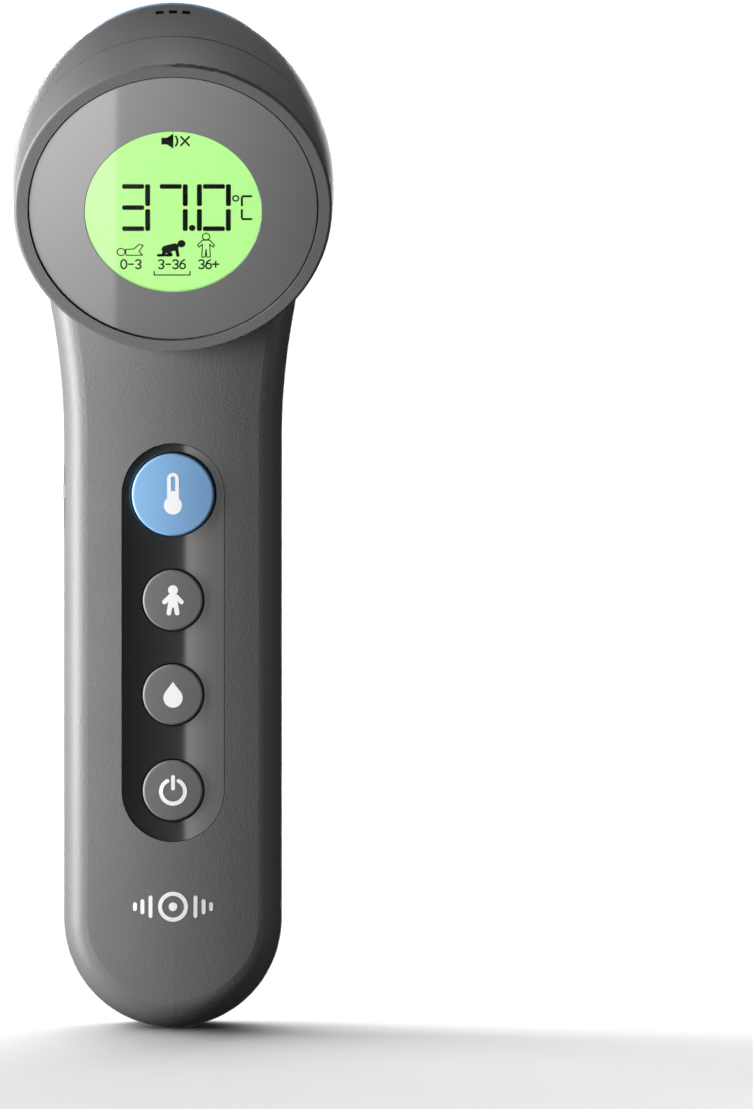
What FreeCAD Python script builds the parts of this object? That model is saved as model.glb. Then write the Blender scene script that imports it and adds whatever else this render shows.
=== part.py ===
import FreeCAD, Part
import math
import os

from FreeCAD import Placement, Rotation, Vector

# A no-touch infrared thermometer. +Z runs up the handle, the keypad looks towards -Y and the
# origin is at the middle of the bounding box's underside. All sizes are in millimetres.

# Handle
front_crown = 80.0
front_rounding = 4.6
back_rounding = 9.0
least_rounding = 0.6
wall = 1.8
seam_gap = 0.3
parting_depth = 11.0

# Head, a tapered barrel whose axis rises to the rear
head_height = 131.2
head_tilt = 25.0
head_radius = 25.64
barrel_crown = 7.5
barrel_shoulder = 2.72
barrel_steepest = 6.0
barrel_length = 34.5
bezel_proud = 2.5
ridge_rounding = 0.5
head_seam = 10.2
neck_radius = 85.0
neck_inset = 0.15
neck_shoulder = 0.3
neck_overlap = 3.3
neck_clip = 13.0
neck_sections = (-10.0, 7.5, 21.0, 38.5)

# Display
bezel_width = 2.3
lens_thickness = 2.1
lens_recess = 0.2
lens_gap = 0.2
adhesive_thickness = 0.2
adhesive_margin = 0.6
ledge_thickness = 1.8
ledge_width = 6.16
lcd_width = 30.0
lcd_height = 31.0
lcd_thickness = 2.2
backlight_thickness = 2.0
lcd_frame_air = 0.97
lcd_frame_floor = 1.4
lcd_drop = 0.5
lcd_screw_inset = 2.4
lcd_screw_count = 4

# Keypad
keypad_radius = 8.15
keypad_thickness = 2.8
keypad_flange = 1.3
keypad_scoop = 1.6
measure_height = 85.6
age_height = 68.7
liquid_height = 53.55
power_height = 38.2
measure_radius = 6.6
button_radius = 4.85
button_gap = 0.24
button_dome = 70.0
button_rounding = 0.4
button_skin = 1.2
button_travel = 0.6
button_flange = 1.0
button_flange_thickness = 0.8
measure_proud = 0.6
button_recess = 0.2
plunger_radius = 1.7
switch_size = 6.2
switch_height = 2.4

# Circuit board
board_depth = 7.4
board_thickness = 1.2
board_bottom = 26.0
board_top = 111.0
board_air = 1.6
board_screw_inset = 1.9
board_screw_heights = (30.0, 97.0)
board_boss_radius = 1.9
lead_half = 0.15

# Mute slider
mute_height = 86.0
mute_travel = 2.0
mute_depth = 6.6
nub_height = 2.06
nub_depth = 2.2
nub_proud = 0.5
mute_recess = 0.23
mute_plate_front = 1.5
mute_plate_back = 1.2

# Batteries
cell_radius = 7.25
cell_length = 50.5
cell_gap = 0.2
cell_button = 1.0
cell_button_radius = 2.7
bay_bottom = 12.5
spring_length = 4.0
top_contact = 2.0
tray_wall = 0.6
tray_floor = 0.8
tray_air = 0.4
tray_front_air = 0.6
tray_setback = 2.6
tray_rib = 3.4
contact_thickness = 0.5
spring_wire = 0.3
spring_turns = 5
spring_base_radius = 4.0
spring_tip_radius = 2.4

# Battery door
door_bottom = 11.0
door_top = 88.0
door_margin = 2.6
door_thickness = 1.6
door_gap = 0.15
cell_clearance = 0.3
hook_width = 4.0
hook_length = 1.3
hook_spacing = 7.0
hook_thickness = 1.2
hook_clearance = 0.35
thumb_tab_width = 9.0
thumb_tab_height = 3.0
grip_half = 6.0
grip_width = 0.9
grip_pitch = 1.8
grip_count = 5
grip_start = 11.0
grip_depth = 0.4

# Fasteners
screw_radius = 0.8
screw_head_radius = 1.6
screw_head_height = 0.5
housing_screw_radius = 1.25
housing_screw_head = 2.0
housing_post_radius = 2.3
housing_screw_inset = 5.5
housing_screw_height = 74.5
shelf_setback = 7.7
shelf_thickness = 1.4
tongue_half = 2.5

# Sensor end
ring_length = 4.3
ring_rounding = 3.8
ring_inset = 0.27
ring_bore = 12.5
spigot_wall = 1.0
cone_mouth = 11.6
cone_throat = 3.6
cone_back = 30.2
sensor_radius = 4.1
sensor_length = 4.6
filter_radius = 2.4
block_radius = 8.0
gasket_thickness = 0.4
sensor_board_air = 3.94
sensor_board_depth = 20.4
post_inset = 1.7
post_radius = 1.9
light_hole_radius = 1.2
led_circle = 15.2
led_size = 1.4
led_count = 6
post_count = 3

# Sound
buzzer_radius = 6.0
buzzer_height = 2.6
buzzer_air = 1.46
buzzer_wall = 1.0
slot_depth = 24.0
slot_width = 1.3
slot_length = 2.8
slot_pitch = 2.1
slot_count = 3

clearance = 0.1

# Worked-out places
tilt_sin = math.sin(math.radians(head_tilt))
tilt_cos = math.cos(math.radians(head_tilt))


def barrel_radius(depth, inset=0.0):
    """Radius of the barrel at a depth behind the bezel, for a skin moved inwards by inset."""
    reach = math.sqrt((barrel_bulge - inset) ** 2 - (depth - barrel_crown) ** 2)
    return head_radius - barrel_bulge + reach


board_back = board_depth + board_thickness
cell_spacing = 2 * cell_radius + cell_gap
tray_half = cell_spacing / 2 + cell_radius + clearance + tray_wall
handle_width = 2 * (tray_half + tray_air + wall)
handle_depth = (board_back + tray_front_air + tray_floor + clearance + 2 * cell_radius + cell_clearance
                + door_thickness)

# The barrel tapers to stand a shoulder proud of the handle's sides, but never too steeply
barrel_taper = min(head_radius - handle_width / 2 - barrel_shoulder, barrel_length / barrel_steepest)
barrel_bulge = ((barrel_length - barrel_crown) ** 2 + barrel_taper ** 2) / (2 * barrel_taper)
ring_radius = barrel_radius(barrel_length) - ring_inset
ring_end = barrel_length + ring_length
rear_reach = (ring_end - ring_rounding) * tilt_cos + (ring_radius - ring_rounding) * tilt_sin + ring_rounding
lower_ridge = (barrel_radius(0) - ridge_rounding) * tilt_sin - ridge_rounding * tilt_cos
head_y = -(rear_reach - lower_ridge - ridge_rounding) / 2
front_y = head_y + barrel_radius(0) * tilt_sin + bezel_proud
bottom_radius = handle_width / 2
back_y = front_y + handle_depth

head_place = Placement(Vector(0, head_y, head_height), Rotation(Vector(1, 0, 0), 90 + head_tilt))
front_place = Placement(Vector(0, front_y, 0), Rotation(Vector(1, 0, 0), 90))


def neck_drop(radius, inset):
    """How far below the barrel's axis the neck's arcs meet the handle's straight sides."""
    reach = neck_radius + inset
    return math.sqrt((radius + reach) ** 2 - (handle_width / 2 - inset + reach) ** 2)


neck_base = head_height - neck_drop(head_radius - neck_inset, 0) * tilt_cos - neck_overlap

# Depths in the head, from the bezel's plane towards the rear
lens_back = lens_recess + lens_thickness
ledge_front = lens_back + adhesive_thickness
ledge_back = ledge_front + ledge_thickness
lcd_front = ledge_back + clearance
lcd_back = lcd_front + lcd_thickness
backlight_back = lcd_back + backlight_thickness
frame_back = backlight_back + lcd_frame_floor
end_wall_front = barrel_length - wall
lens_radius = barrel_radius(0) - bezel_width
ledge_opening = lens_radius - ledge_width
lcd_frame_radius = barrel_radius(ledge_back) - wall - lcd_frame_air
lcd_screw_circle = ledge_opening + lcd_screw_inset
sensor_board_radius = barrel_radius(sensor_board_depth) - wall - sensor_board_air
post_circle = sensor_board_radius - post_inset
buzzer_up = barrel_radius(slot_depth) - wall - buzzer_height - buzzer_air
sensor_board_rear = sensor_board_depth + board_thickness
gasket_front = cone_back - gasket_thickness
sensor_front = gasket_front - clearance * 2
sensor_back = sensor_front - sensor_length

# Places in the handle, as depths from the keypad's face and as heights and half widths
cap_flange_front = keypad_thickness + 2 * clearance
cap_flange_back = cap_flange_front + button_flange_thickness
switch_front = board_depth - switch_height
plunger_end = switch_front + 0.7
plunger_well = plunger_end + button_travel + 2 * clearance
door_inside = handle_depth - door_thickness
cell_depth = door_inside - cell_clearance - cell_radius
tray_front = cell_depth - cell_radius - clearance - tray_floor
cell_bottom = bay_bottom + spring_length
cell_top = cell_bottom + cell_length
bay_top = cell_top + top_contact
tray_depth = door_inside - tray_setback
shelf_depth = handle_depth - shelf_setback
board_half = handle_width / 2 - wall - board_air
board_screw_offset = board_half - board_screw_inset
housing_screw_offset = handle_width / 2 - housing_screw_inset
door_half = handle_width / 2 - door_margin


# Frames and plain solids. In both frames x is across, up runs up the face and depth goes in from it.
def at_head(shape):
    placed = shape.copy()
    placed.Placement = head_place.multiply(placed.Placement)
    return placed


def at_front(shape):
    placed = shape.copy()
    placed.Placement = front_place.multiply(placed.Placement)
    return placed


def block(x0, x1, up0, up1, depth0, depth1):
    return Part.makeBox(x1 - x0, up1 - up0, depth1 - depth0, Vector(x0, up0, -depth1))


def disc(radius, depth0, depth1, x=0.0, up=0.0):
    return Part.makeCylinder(radius, depth1 - depth0, Vector(x, up, -depth1))


def washer(outer, inner, depth0, depth1, x=0.0, up=0.0):
    return disc(outer, depth0, depth1, x, up).cut(disc(inner, depth0, depth1, x, up))


def stadium(radius, up0, up1, depth0, depth1):
    """A long slot shape whose round ends are centred at up0 and up1."""
    middle = block(-radius, radius, up0, up1, depth0, depth1)
    return middle.fuse([disc(radius, depth0, depth1, 0, up) for up in (up0, up1)]).removeSplitter()


def turned(points):
    """Revolves a closed outline of (radius, depth) points about the frame's own axis."""
    corners = [Vector(radius, 0, -depth) for radius, depth in points]
    face = Part.Face(Part.makePolygon(corners + corners[:1]))
    return face.revolve(Vector(0, 0, 0), Vector(0, 0, 1), 360)


def strip(points, x0, x1):
    """Extrudes a closed outline of (y, z) points across the object from x0 to x1."""
    corners = [Vector(x0, y, z) for y, z in points]
    return Part.Face(Part.makePolygon(corners + corners[:1])).extrude(Vector(x1 - x0, 0, 0))


def screw(radius, head_radius_, head_height, length, x, up, seat):
    """A screw driven from the rear: its head sits behind the seat and its shank runs forward."""
    head = disc(head_radius_, seat, seat + head_height, x, up)
    cross = block(x - head_radius_ * 0.6, x + head_radius_ * 0.6, up - 0.15, up + 0.15,
                  seat + head_height * 0.5, seat + head_height)
    across = block(x - 0.15, x + 0.15, up - head_radius_ * 0.6, up + head_radius_ * 0.6,
                   seat + head_height * 0.5, seat + head_height)
    return head.fuse(disc(radius, seat - length, seat, x, up)).cut([cross, across])


def around(count, circle, start):
    """Places on a circle, as (x, up) pairs."""
    angles = [math.radians(start + 360.0 * turn / count) for turn in range(count)]
    return [(circle * math.cos(angle), circle * math.sin(angle)) for angle in angles]


def save(name, solids):
    """Writes one node, as one solid or as a group of separate solids."""
    shape = solids if len(solids.Solids) > 1 or solids.ShapeType == "Solid" else solids.Solids[0]
    if not shape.isValid():
        raise ValueError(name + " is not a valid solid")
    shape.exportStep("parts/" + name + ".step")


# The body's skin, moved inwards by inset
def barrel(inset, depth0, depth1, rounding=0.0):
    middle = (depth0 + depth1) / 2

    def skin(depth):
        return Vector(barrel_radius(depth, inset), 0, -depth)

    start = skin(depth0 + rounding)
    edges = [
        Part.Arc(start, skin(middle), skin(depth1)).toShape(),
        Part.LineSegment(skin(depth1), Vector(0, 0, -depth1)).toShape(),
        Part.LineSegment(Vector(0, 0, -depth1), Vector(0, 0, -depth0)).toShape(),
    ]
    if rounding:
        flat = Vector(start.x - rounding, 0, -depth0)
        turn = rounding * (1 - math.sqrt(0.5))
        edges.append(Part.LineSegment(Vector(0, 0, -depth0), flat).toShape())
        edges.append(Part.Arc(flat, Vector(start.x - turn, 0, -depth0 - turn), start).toShape())
    else:
        edges.append(Part.LineSegment(Vector(0, 0, -depth0), start).toShape())
    return at_head(Part.Face(Part.Wire(edges)).revolve(Vector(0, 0, 0), Vector(0, 0, 1), 360))


def keyhole(depth, inset):
    """The barrel's circle, blended by two arcs into the handle's straight sides."""
    half = handle_width / 2 - inset
    radius = max(barrel_radius(depth, inset) - neck_inset, half + neck_shoulder)
    blend = neck_radius + inset
    drop = neck_drop(radius, inset)
    centre_x = half + blend
    touch_x = centre_x * radius / (radius + blend)
    touch_up = -drop * radius / (radius + blend)
    angle = (math.pi + math.atan2(touch_up + drop, touch_x - centre_x)) / 2
    middle_x = centre_x + blend * math.cos(angle)
    middle_up = -drop + blend * math.sin(angle)
    low = -drop - 2 * neck_radius

    def point(x, up):
        return Vector(x, up, -depth)

    return Part.Wire([
        Part.Arc(point(touch_x, touch_up), point(0, radius), point(-touch_x, touch_up)).toShape(),
        Part.Arc(point(-touch_x, touch_up), point(-middle_x, middle_up), point(-half, -drop)).toShape(),
        Part.LineSegment(point(-half, -drop), point(-half, low)).toShape(),
        Part.LineSegment(point(-half, low), point(half, low)).toShape(),
        Part.LineSegment(point(half, low), point(half, -drop)).toShape(),
        Part.Arc(point(half, -drop), point(middle_x, middle_up), point(touch_x, touch_up)).toShape(),
    ])


def rim(shape, height):
    """The edges where height, a function of a point, is zero, without those across the top or middle."""
    edges = []
    for edge in shape.Edges:
        middle = edge.valueAt((edge.FirstParameter + edge.LastParameter) / 2)
        points = [vertex.Point for vertex in edge.Vertexes] + [middle]
        across = abs(points[0].z - points[-2].z) < 0.01 and middle.z > bottom_radius
        if all(abs(height(point)) < 1e-3 for point in points) and not across:
            edges.append(edge)
    return edges


def body(inset, depth0, depth1, rounding=0.0):
    """The handle, the neck and the barrel as one solid."""
    half = handle_width / 2 - inset
    front = front_y + inset
    back = back_y - inset
    blended = at_head(Part.makeLoft([keyhole(depth, inset) for depth in neck_sections], True, False))
    slab = Part.makeBox(4 * half, back - front, head_height, Vector(-2 * half, front, neck_base))
    below = at_head(Part.makeBox(4 * half, head_height, head_height,
                                 Vector(-2 * half, -neck_clip - head_height, -head_height / 2)))
    neck = blended.common(slab).common(below)
    centre = bottom_radius
    outline = Part.Wire([
        Part.Arc(Vector(-half, front, centre), Vector(0, front, centre - half),
                 Vector(half, front, centre)).toShape(),
        Part.LineSegment(Vector(half, front, centre), Vector(half, front, neck_base)).toShape(),
        Part.LineSegment(Vector(half, front, neck_base), Vector(-half, front, neck_base)).toShape(),
        Part.LineSegment(Vector(-half, front, neck_base), Vector(-half, front, centre)).toShape(),
    ])
    handle = Part.Face(outline).extrude(Vector(0, back - front, 0)).fuse(neck).removeSplitter()
    crown = Part.makeCylinder(front_crown - inset, 2 * head_height, Vector(0, front_y + front_crown, 0))
    handle = handle.common(crown)

    def off_crown(point):
        return math.hypot(point.x, point.y - front_y - front_crown) - front_crown + inset

    handle = handle.makeFillet(max(front_rounding - inset, least_rounding), rim(handle, off_crown))
    handle = handle.makeFillet(back_rounding - inset, rim(handle, lambda point: point.y - back))
    reach = 2 * head_height
    ahead = at_head(Part.makeBox(reach, 2 * reach, depth1 + reach, Vector(-reach / 2, -reach, -depth1)))
    return handle.common(ahead).fuse(barrel(inset, depth0, depth1, rounding))


def front_region(shift):
    """Everything in front of the parting surface, moved back by shift."""
    line_y = front_y + parting_depth + shift

    def seam_y(z):
        return head_y + (head_seam + shift + (head_height - z) * tilt_sin) / tilt_cos

    bend = head_height - ((line_y - head_y) * tilt_cos - head_seam - shift) / tilt_sin
    top = head_height + 60
    return strip([(-90, -10), (line_y, -10), (line_y, bend), (seam_y(top), top), (-90, top)], -60, 60)


# Housings
def keypad_outline(radius, depth0, depth1):
    return at_front(stadium(radius, power_height, measure_height, depth0, depth1))


def board_screw_places():
    return [(side * board_screw_offset, up) for side in (-1, 1) for up in board_screw_heights]


def front_housing(skin, solid_body):
    shell = skin.common(front_region(-seam_gap / 2))
    lens_seat = at_head(disc(lens_radius + lens_gap, -5, ledge_front))
    window = at_head(disc(ledge_opening, -5, ledge_back))
    shell = shell.cut([lens_seat, window, keypad_outline(keypad_radius + clearance, -5, wall + 2)])
    bosses = [disc(board_boss_radius, wall - 0.3, board_depth, x, up) for x, up in board_screw_places()]
    posts = [disc(housing_post_radius, wall - 0.3, shelf_depth, side * housing_screw_offset,
                  housing_screw_height) for side in (-1, 1)]
    shell = shell.fuse([at_front(piece).common(solid_body) for piece in bosses + posts])
    shell = shell.cut(keypad_outline(keypad_radius + keypad_flange + clearance, wall, keypad_thickness + 1))
    pilots = [disc(screw_radius, board_depth - 4, board_depth, x, up) for x, up in board_screw_places()]
    pilots += [disc(housing_screw_radius, shelf_depth - 8, shelf_depth, side * housing_screw_offset,
                    housing_screw_height) for side in (-1, 1)]
    shell = shell.cut([at_front(piece) for piece in pilots])
    lcd_pilots = [disc(screw_radius, ledge_back - 1.2, ledge_back, x, up) for x, up in lcd_screw_places()]
    shell = shell.cut([at_head(piece) for piece in lcd_pilots])
    return shell.cut([mute_recess_cut(), mute_slot()])


def mute_recess_cut():
    """A shallow dished flat in the side wall around the mute slider."""
    side = handle_width / 2
    floor = -side + mute_recess
    low = mute_height - mute_travel - 3.3
    high = mute_height + 3.7
    corners = [(-side - 0.1, low - 1.9), (floor, low), (floor, high), (-side - 0.1, high + 1.6)]
    outline = [Vector(x, up, -mute_depth - 2.6) for x, up in corners]
    face = Part.Face(Part.makePolygon(outline + outline[:1]))
    return at_front(face.extrude(Vector(0, 0, 5.2)))


def mute_slot():
    low = mute_height - mute_travel - nub_height / 2 - 0.25
    high = mute_height + nub_height / 2 + 0.25
    half = nub_depth / 2 + 0.15
    return at_front(block(-handle_width / 2 - 1, -handle_width / 2 + wall + 0.5, low, high,
                          mute_depth - half, mute_depth + half))


def rear_housing(skin, solid_body):
    shell = skin.cut(front_region(seam_gap / 2))
    shelf_half = handle_width / 2 - wall + 0.4
    shelf = at_front(block(-shelf_half, shelf_half, bay_top + 1.9, door_top + 1.4,
                           shelf_depth, shelf_depth + shelf_thickness))
    lintel = at_front(block(-shelf_half, shelf_half, door_top + 0.2, door_top + 1.4,
                            shelf_depth, handle_depth - 0.6))
    inserts = shelf.fuse(lintel).common(solid_body)
    posts = [disc(post_radius, sensor_board_rear, end_wall_front + 0.4, x, up)
             for x, up in around(post_count, post_circle, 30)]
    holder = washer(buzzer_radius + clearance + buzzer_wall, buzzer_radius + clearance, 0, 6)
    holder.rotate(Vector(0, 0, 0), Vector(1, 0, 0), 90)
    holder.translate(Vector(0, buzzer_up + 0.8, -slot_depth + 2))
    holder = at_head(holder).common(solid_body)
    shell = shell.fuse([inserts, holder] + [at_head(piece) for piece in posts])
    tongue = at_front(block(-tongue_half, tongue_half, wall - 0.3, wall + 1.4,
                            parting_depth + seam_gap, parting_depth + 5))
    lip = at_front(block(-tongue_half, tongue_half, wall + 0.4, wall + 1.4,
                         parting_depth - 3, parting_depth + 5))
    shell = shell.fuse([tongue, lip])
    bore = at_head(disc(ring_bore + spigot_wall + clearance, end_wall_front - 1, barrel_length + 1))
    lights = [disc(light_hole_radius, end_wall_front - 1, barrel_length + 1, x, up)
              for x, up in around(led_count, led_circle, 0)]
    shell = shell.cut([bore] + [at_head(piece) for piece in lights])
    slots = [block(x - slot_width / 2, x + slot_width / 2, buzzer_up + buzzer_height, head_radius + 5,
                   slot_depth - slot_length / 2, slot_depth + slot_length / 2)
             for x in [slot_pitch * (turn - (slot_count - 1) / 2) for turn in range(slot_count)]]
    shell = shell.cut([at_head(piece) for piece in slots])
    pilots = [disc(screw_radius, sensor_board_rear, sensor_board_rear + 6, x, up)
              for x, up in around(post_count, post_circle, 30)]
    shell = shell.cut([at_head(piece) for piece in pilots])
    holes = [at_front(disc(housing_screw_radius + clearance, shelf_depth - 1, shelf_depth + 4,
                           side * housing_screw_offset, housing_screw_height)) for side in (-1, 1)]
    shell = shell.cut(holes)
    opening = door_prism(door_half + door_gap, door_bottom - door_gap, door_top + door_gap,
                         thumb_tab_width / 2 + door_gap, thumb_tab_height)
    return shell.cut(opening)


def door_prism(half, bottom, top, tab_half, tab_height, start=shelf_depth + shelf_thickness):
    """The door's outline, with its thumb tab, carried from start straight through the back."""
    plate = block(-half, half, bottom, top, start, handle_depth + 5)
    tab = block(-tab_half, tab_half, top - 1, top + tab_height, start, handle_depth + 5)
    return at_front(plate.fuse(tab))


# Display
def lcd_screw_places():
    return around(lcd_screw_count, lcd_screw_circle, 0)


def display_lens():
    return at_head(disc(lens_radius, lens_recess, lens_back))


def lens_adhesive():
    return at_head(washer(lens_radius - adhesive_margin, ledge_opening + adhesive_margin, lens_back, ledge_front))


def lcd_plate(depth0, depth1, margin):
    half_width = lcd_width / 2 + margin
    half_height = lcd_height / 2 + margin
    return at_head(block(-half_width, half_width, -half_height - lcd_drop, half_height - lcd_drop,
                         depth0, depth1))


def lcd_frame():
    plate = at_head(disc(lcd_frame_radius, ledge_back, frame_back))
    holes = [at_head(disc(screw_radius + clearance, ledge_back, frame_back, x, up))
             for x, up in lcd_screw_places()]
    return plate.cut([lcd_plate(ledge_back, backlight_back, clearance)] + holes)


def lcd_screws():
    length = frame_back - ledge_back + 1.1
    return [at_head(screw(screw_radius, screw_head_radius, 1.0, length, x, up, frame_back))
            for x, up in lcd_screw_places()]


def lcd_ribbon():
    top_y = head_y + 16 * tilt_sin + frame_back * tilt_cos
    top_z = head_height - 16 * tilt_cos + frame_back * tilt_sin
    low_y = front_y + board_back
    thick = 0.2
    points = [(top_y, top_z), (top_y + thick * tilt_cos, top_z + thick * tilt_sin),
              (low_y + thick, board_top + 4), (low_y + thick, board_top - 5), (low_y, board_top - 5),
              (low_y, board_top + 3.8)]
    return strip(points, -11, -3)


# Keypad
def keypad_panel(solid_body):
    panel = keypad_outline(keypad_radius, -1, keypad_thickness).common(solid_body)
    flange = keypad_outline(keypad_radius + keypad_flange, wall, keypad_thickness)
    rim_depth = front_crown - math.sqrt(front_crown ** 2 - keypad_radius ** 2)
    sweep = keypad_scoop - rim_depth
    scoop_radius = (keypad_radius ** 2 + sweep ** 2) / (2 * sweep)
    axis_depth = scoop_radius - keypad_scoop
    run = Part.makeCylinder(scoop_radius, measure_height - power_height,
                            Vector(0, power_height, axis_depth), Vector(0, 1, 0))
    ends = [Part.makeSphere(scoop_radius, Vector(0, up, axis_depth)) for up in (power_height, measure_height)]
    scoop = at_front(run.fuse(ends))
    holes = [at_front(disc(radius + button_gap, -3, keypad_thickness + 1, 0, up))
             for _, up, radius, _ in buttons()]
    return panel.fuse(flange).cut([scoop] + holes)


def buttons():
    """Name, height, radius and the depth of its face, for each button."""
    return [
        ("measure", measure_height, measure_radius, -measure_proud),
        ("age", age_height, button_radius, button_recess),
        ("liquid", liquid_height, button_radius, button_recess),
        ("power", power_height, button_radius, button_recess),
    ]


def button_cap(up, radius, face):
    cap = Part.makeCylinder(radius, cap_flange_front - face, Vector(0, 0, -cap_flange_front))
    cap = cap.common(Part.makeSphere(button_dome, Vector(0, 0, -face - button_dome)))
    brow = -face - button_dome + math.sqrt(button_dome ** 2 - radius ** 2)
    edges = [edge for edge in cap.Edges if abs(edge.BoundBox.ZMin - brow) < 1e-3 and edge.BoundBox.ZLength < 0.01]
    cap = cap.makeFillet(button_rounding, edges)
    flange = disc(radius + button_gap + button_flange, cap_flange_front, cap_flange_back)
    hollow = disc(radius - button_skin, face + 1.6, cap_flange_back)
    stem = disc(plunger_radius + 0.6, face + 1.0, cap_flange_back)
    cap = cap.fuse(flange).cut(hollow).fuse(stem)
    cap.translate(Vector(0, up, 0))
    return at_front(cap)


def plunger(up):
    return at_front(disc(plunger_radius, cap_flange_back, plunger_end, 0, up))


def tact_switches():
    half = switch_size / 2
    switches = []
    for _, up, _, _ in buttons():
        case = block(-half, half, up - half, up + half, switch_front, board_depth)
        switches.append(at_front(case.cut(disc(plunger_radius + clearance, switch_front, plunger_well, 0, up))))
    return switches


# Circuit board
def main_board():
    board = at_front(block(-board_half, board_half, board_bottom, board_top, board_depth, board_back))
    holes = [disc(screw_radius + clearance, board_depth, board_back, x, up)
             for x, up in board_screw_places()]
    holes += [disc(housing_post_radius + clearance * 2, board_depth, board_back,
                   side * housing_screw_offset, housing_screw_height) for side in (-1, 1)]
    return board.cut([at_front(piece) for piece in holes])


def board_screws():
    return [at_front(screw(screw_radius, screw_head_radius, screw_head_height, board_thickness + 3.8,
                           x, up, board_back)) for x, up in board_screw_places()]


def chip(x, up, width, height, thickness, lead_count):
    """A chip on the front of the board, with its leads along both sides."""
    case = block(x - width / 2, x + width / 2, up - height / 2, up + height / 2,
                 board_depth - thickness, board_depth - 0.1)
    leads = []
    for turn in range(lead_count):
        place = up + (turn - (lead_count - 1) / 2) * height * 0.9 / lead_count
        leads.append(block(x - width / 2 - 0.8, x + width / 2 + 0.8, place - lead_half, place + lead_half,
                           board_depth - 0.35, board_depth))
    return at_front(case.fuse(leads))


def capacitors():
    places = [(-6, 104), (-3.5, 104), (6, 104), (9, 92), (9, 89), (-9, 92)]
    return [at_front(block(x - 0.8, x + 0.8, up - 0.4, up + 0.4, board_depth - 0.8, board_depth))
            for x, up in places]


def crystal():
    return at_front(block(7.5, 11.0, 100.0, 101.6, board_depth - 1.0, board_depth))


# Mute slider
def mute_slider():
    inner = -handle_width / 2 + wall + clearance
    nub = block(-handle_width / 2 - nub_proud, inner, mute_height - nub_height / 2,
                mute_height + nub_height / 2, mute_depth - nub_depth / 2, mute_depth + nub_depth / 2)
    edges = [edge for edge in nub.Edges if edge.BoundBox.XMax < -handle_width / 2]
    nub = nub.makeFillet(0.45, edges)
    plate = block(inner, inner + 0.5, mute_height - 4, mute_height + 2.6,
                  mute_depth - mute_plate_front, mute_depth + mute_plate_back)
    return at_front(nub.fuse(plate))


def mute_lever():
    start = -handle_width / 2 + wall + clearance + 0.5
    return at_front(block(start, start + 1.4, mute_height - 0.75, mute_height + 0.75,
                          mute_depth - 0.5, mute_depth + 0.5))


def mute_switch():
    start = -handle_width / 2 + wall + clearance + 0.75
    case = block(start, start + 4, mute_height - 6, mute_height + 4, board_depth - 2.8, board_depth)
    slot = block(start - 1, start + 1.35, mute_height - mute_travel - 1.1, mute_height + 1.1,
                 mute_depth - 0.7, mute_depth + 0.7)
    return at_front(case.cut(slot))


# Batteries
def battery_tray(room):
    outer = block(-tray_half, tray_half, bay_bottom - tray_wall, bay_top + tray_wall, tray_front, tray_depth)
    inner_half = tray_half - tray_wall
    hollow = block(-inner_half, inner_half, bay_bottom, bay_top, tray_front + tray_floor, tray_depth + 1)
    rib = block(-0.5, 0.5, cell_bottom, cell_top, tray_front + tray_floor, tray_front + tray_floor + tray_rib)
    cells = [cell_block(side, clearance) for side in (-1, 1)]
    tray = at_front(outer.cut(hollow).fuse(rib)).cut(cells)
    return tray.common(room)


def cell_block(side, margin=0.0):
    middle = Vector(side * cell_spacing / 2, cell_bottom - margin, -cell_depth)
    return at_front(Part.makeCylinder(cell_radius + margin, cell_length + 2 * margin, middle, Vector(0, 1, 0)))


def battery(side):
    """One AA cell: the left one stands with its button up, the right one is turned over."""
    up = side < 0
    base = cell_bottom if up else cell_bottom + cell_button
    x = side * cell_spacing / 2
    case = Part.makeCylinder(cell_radius, cell_length - cell_button, Vector(x, base, -cell_depth),
                             Vector(0, 1, 0))
    tip = cell_top - cell_button if up else cell_bottom
    nub = Part.makeCylinder(cell_button_radius, cell_button, Vector(x, tip, -cell_depth), Vector(0, 1, 0))
    return at_front(case.fuse(nub))


def spring(side):
    """A conical contact spring under a cell, as a run of rings joined by a short post."""
    rings = []
    reach = spring_length - contact_thickness - 2 * spring_wire
    low = bay_bottom + contact_thickness + spring_wire
    for turn in range(spring_turns):
        share = turn / (spring_turns - 1)
        radius = spring_base_radius + (spring_tip_radius - spring_base_radius) * share
        middle = Vector(side * cell_spacing / 2, low + reach * share, -cell_depth)
        rings.append(Part.makeTorus(radius, spring_wire, middle, Vector(0, 1, 0)))
    slope = Vector(spring_tip_radius - spring_base_radius, reach, 0)
    start = Vector(side * cell_spacing / 2 + spring_base_radius, low, -cell_depth)
    link = Part.makeCylinder(spring_wire * 0.8, slope.Length, start, slope)
    return at_front(rings[0].fuse(rings[1:] + [link]))


def contact_plate(side):
    x = side * cell_spacing / 2
    plate = block(x - 5.5, x + 5.5, bay_bottom, bay_bottom + contact_thickness, cell_depth - 5.5, cell_depth + 4.5)
    return at_front(plate)


def contact_bridge():
    half = cell_spacing / 2 + cell_radius - 1.6
    plate = block(-half, half, bay_top - contact_thickness, bay_top, cell_depth - 5.5, cell_depth + 4.5)
    bumps = [Part.makeCylinder(2.0, top_contact - contact_thickness, Vector(side * cell_spacing / 2, cell_top, -cell_depth),
                               Vector(0, 1, 0)) for side in (-1, 1)]
    return at_front(plate.fuse(bumps))


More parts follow.
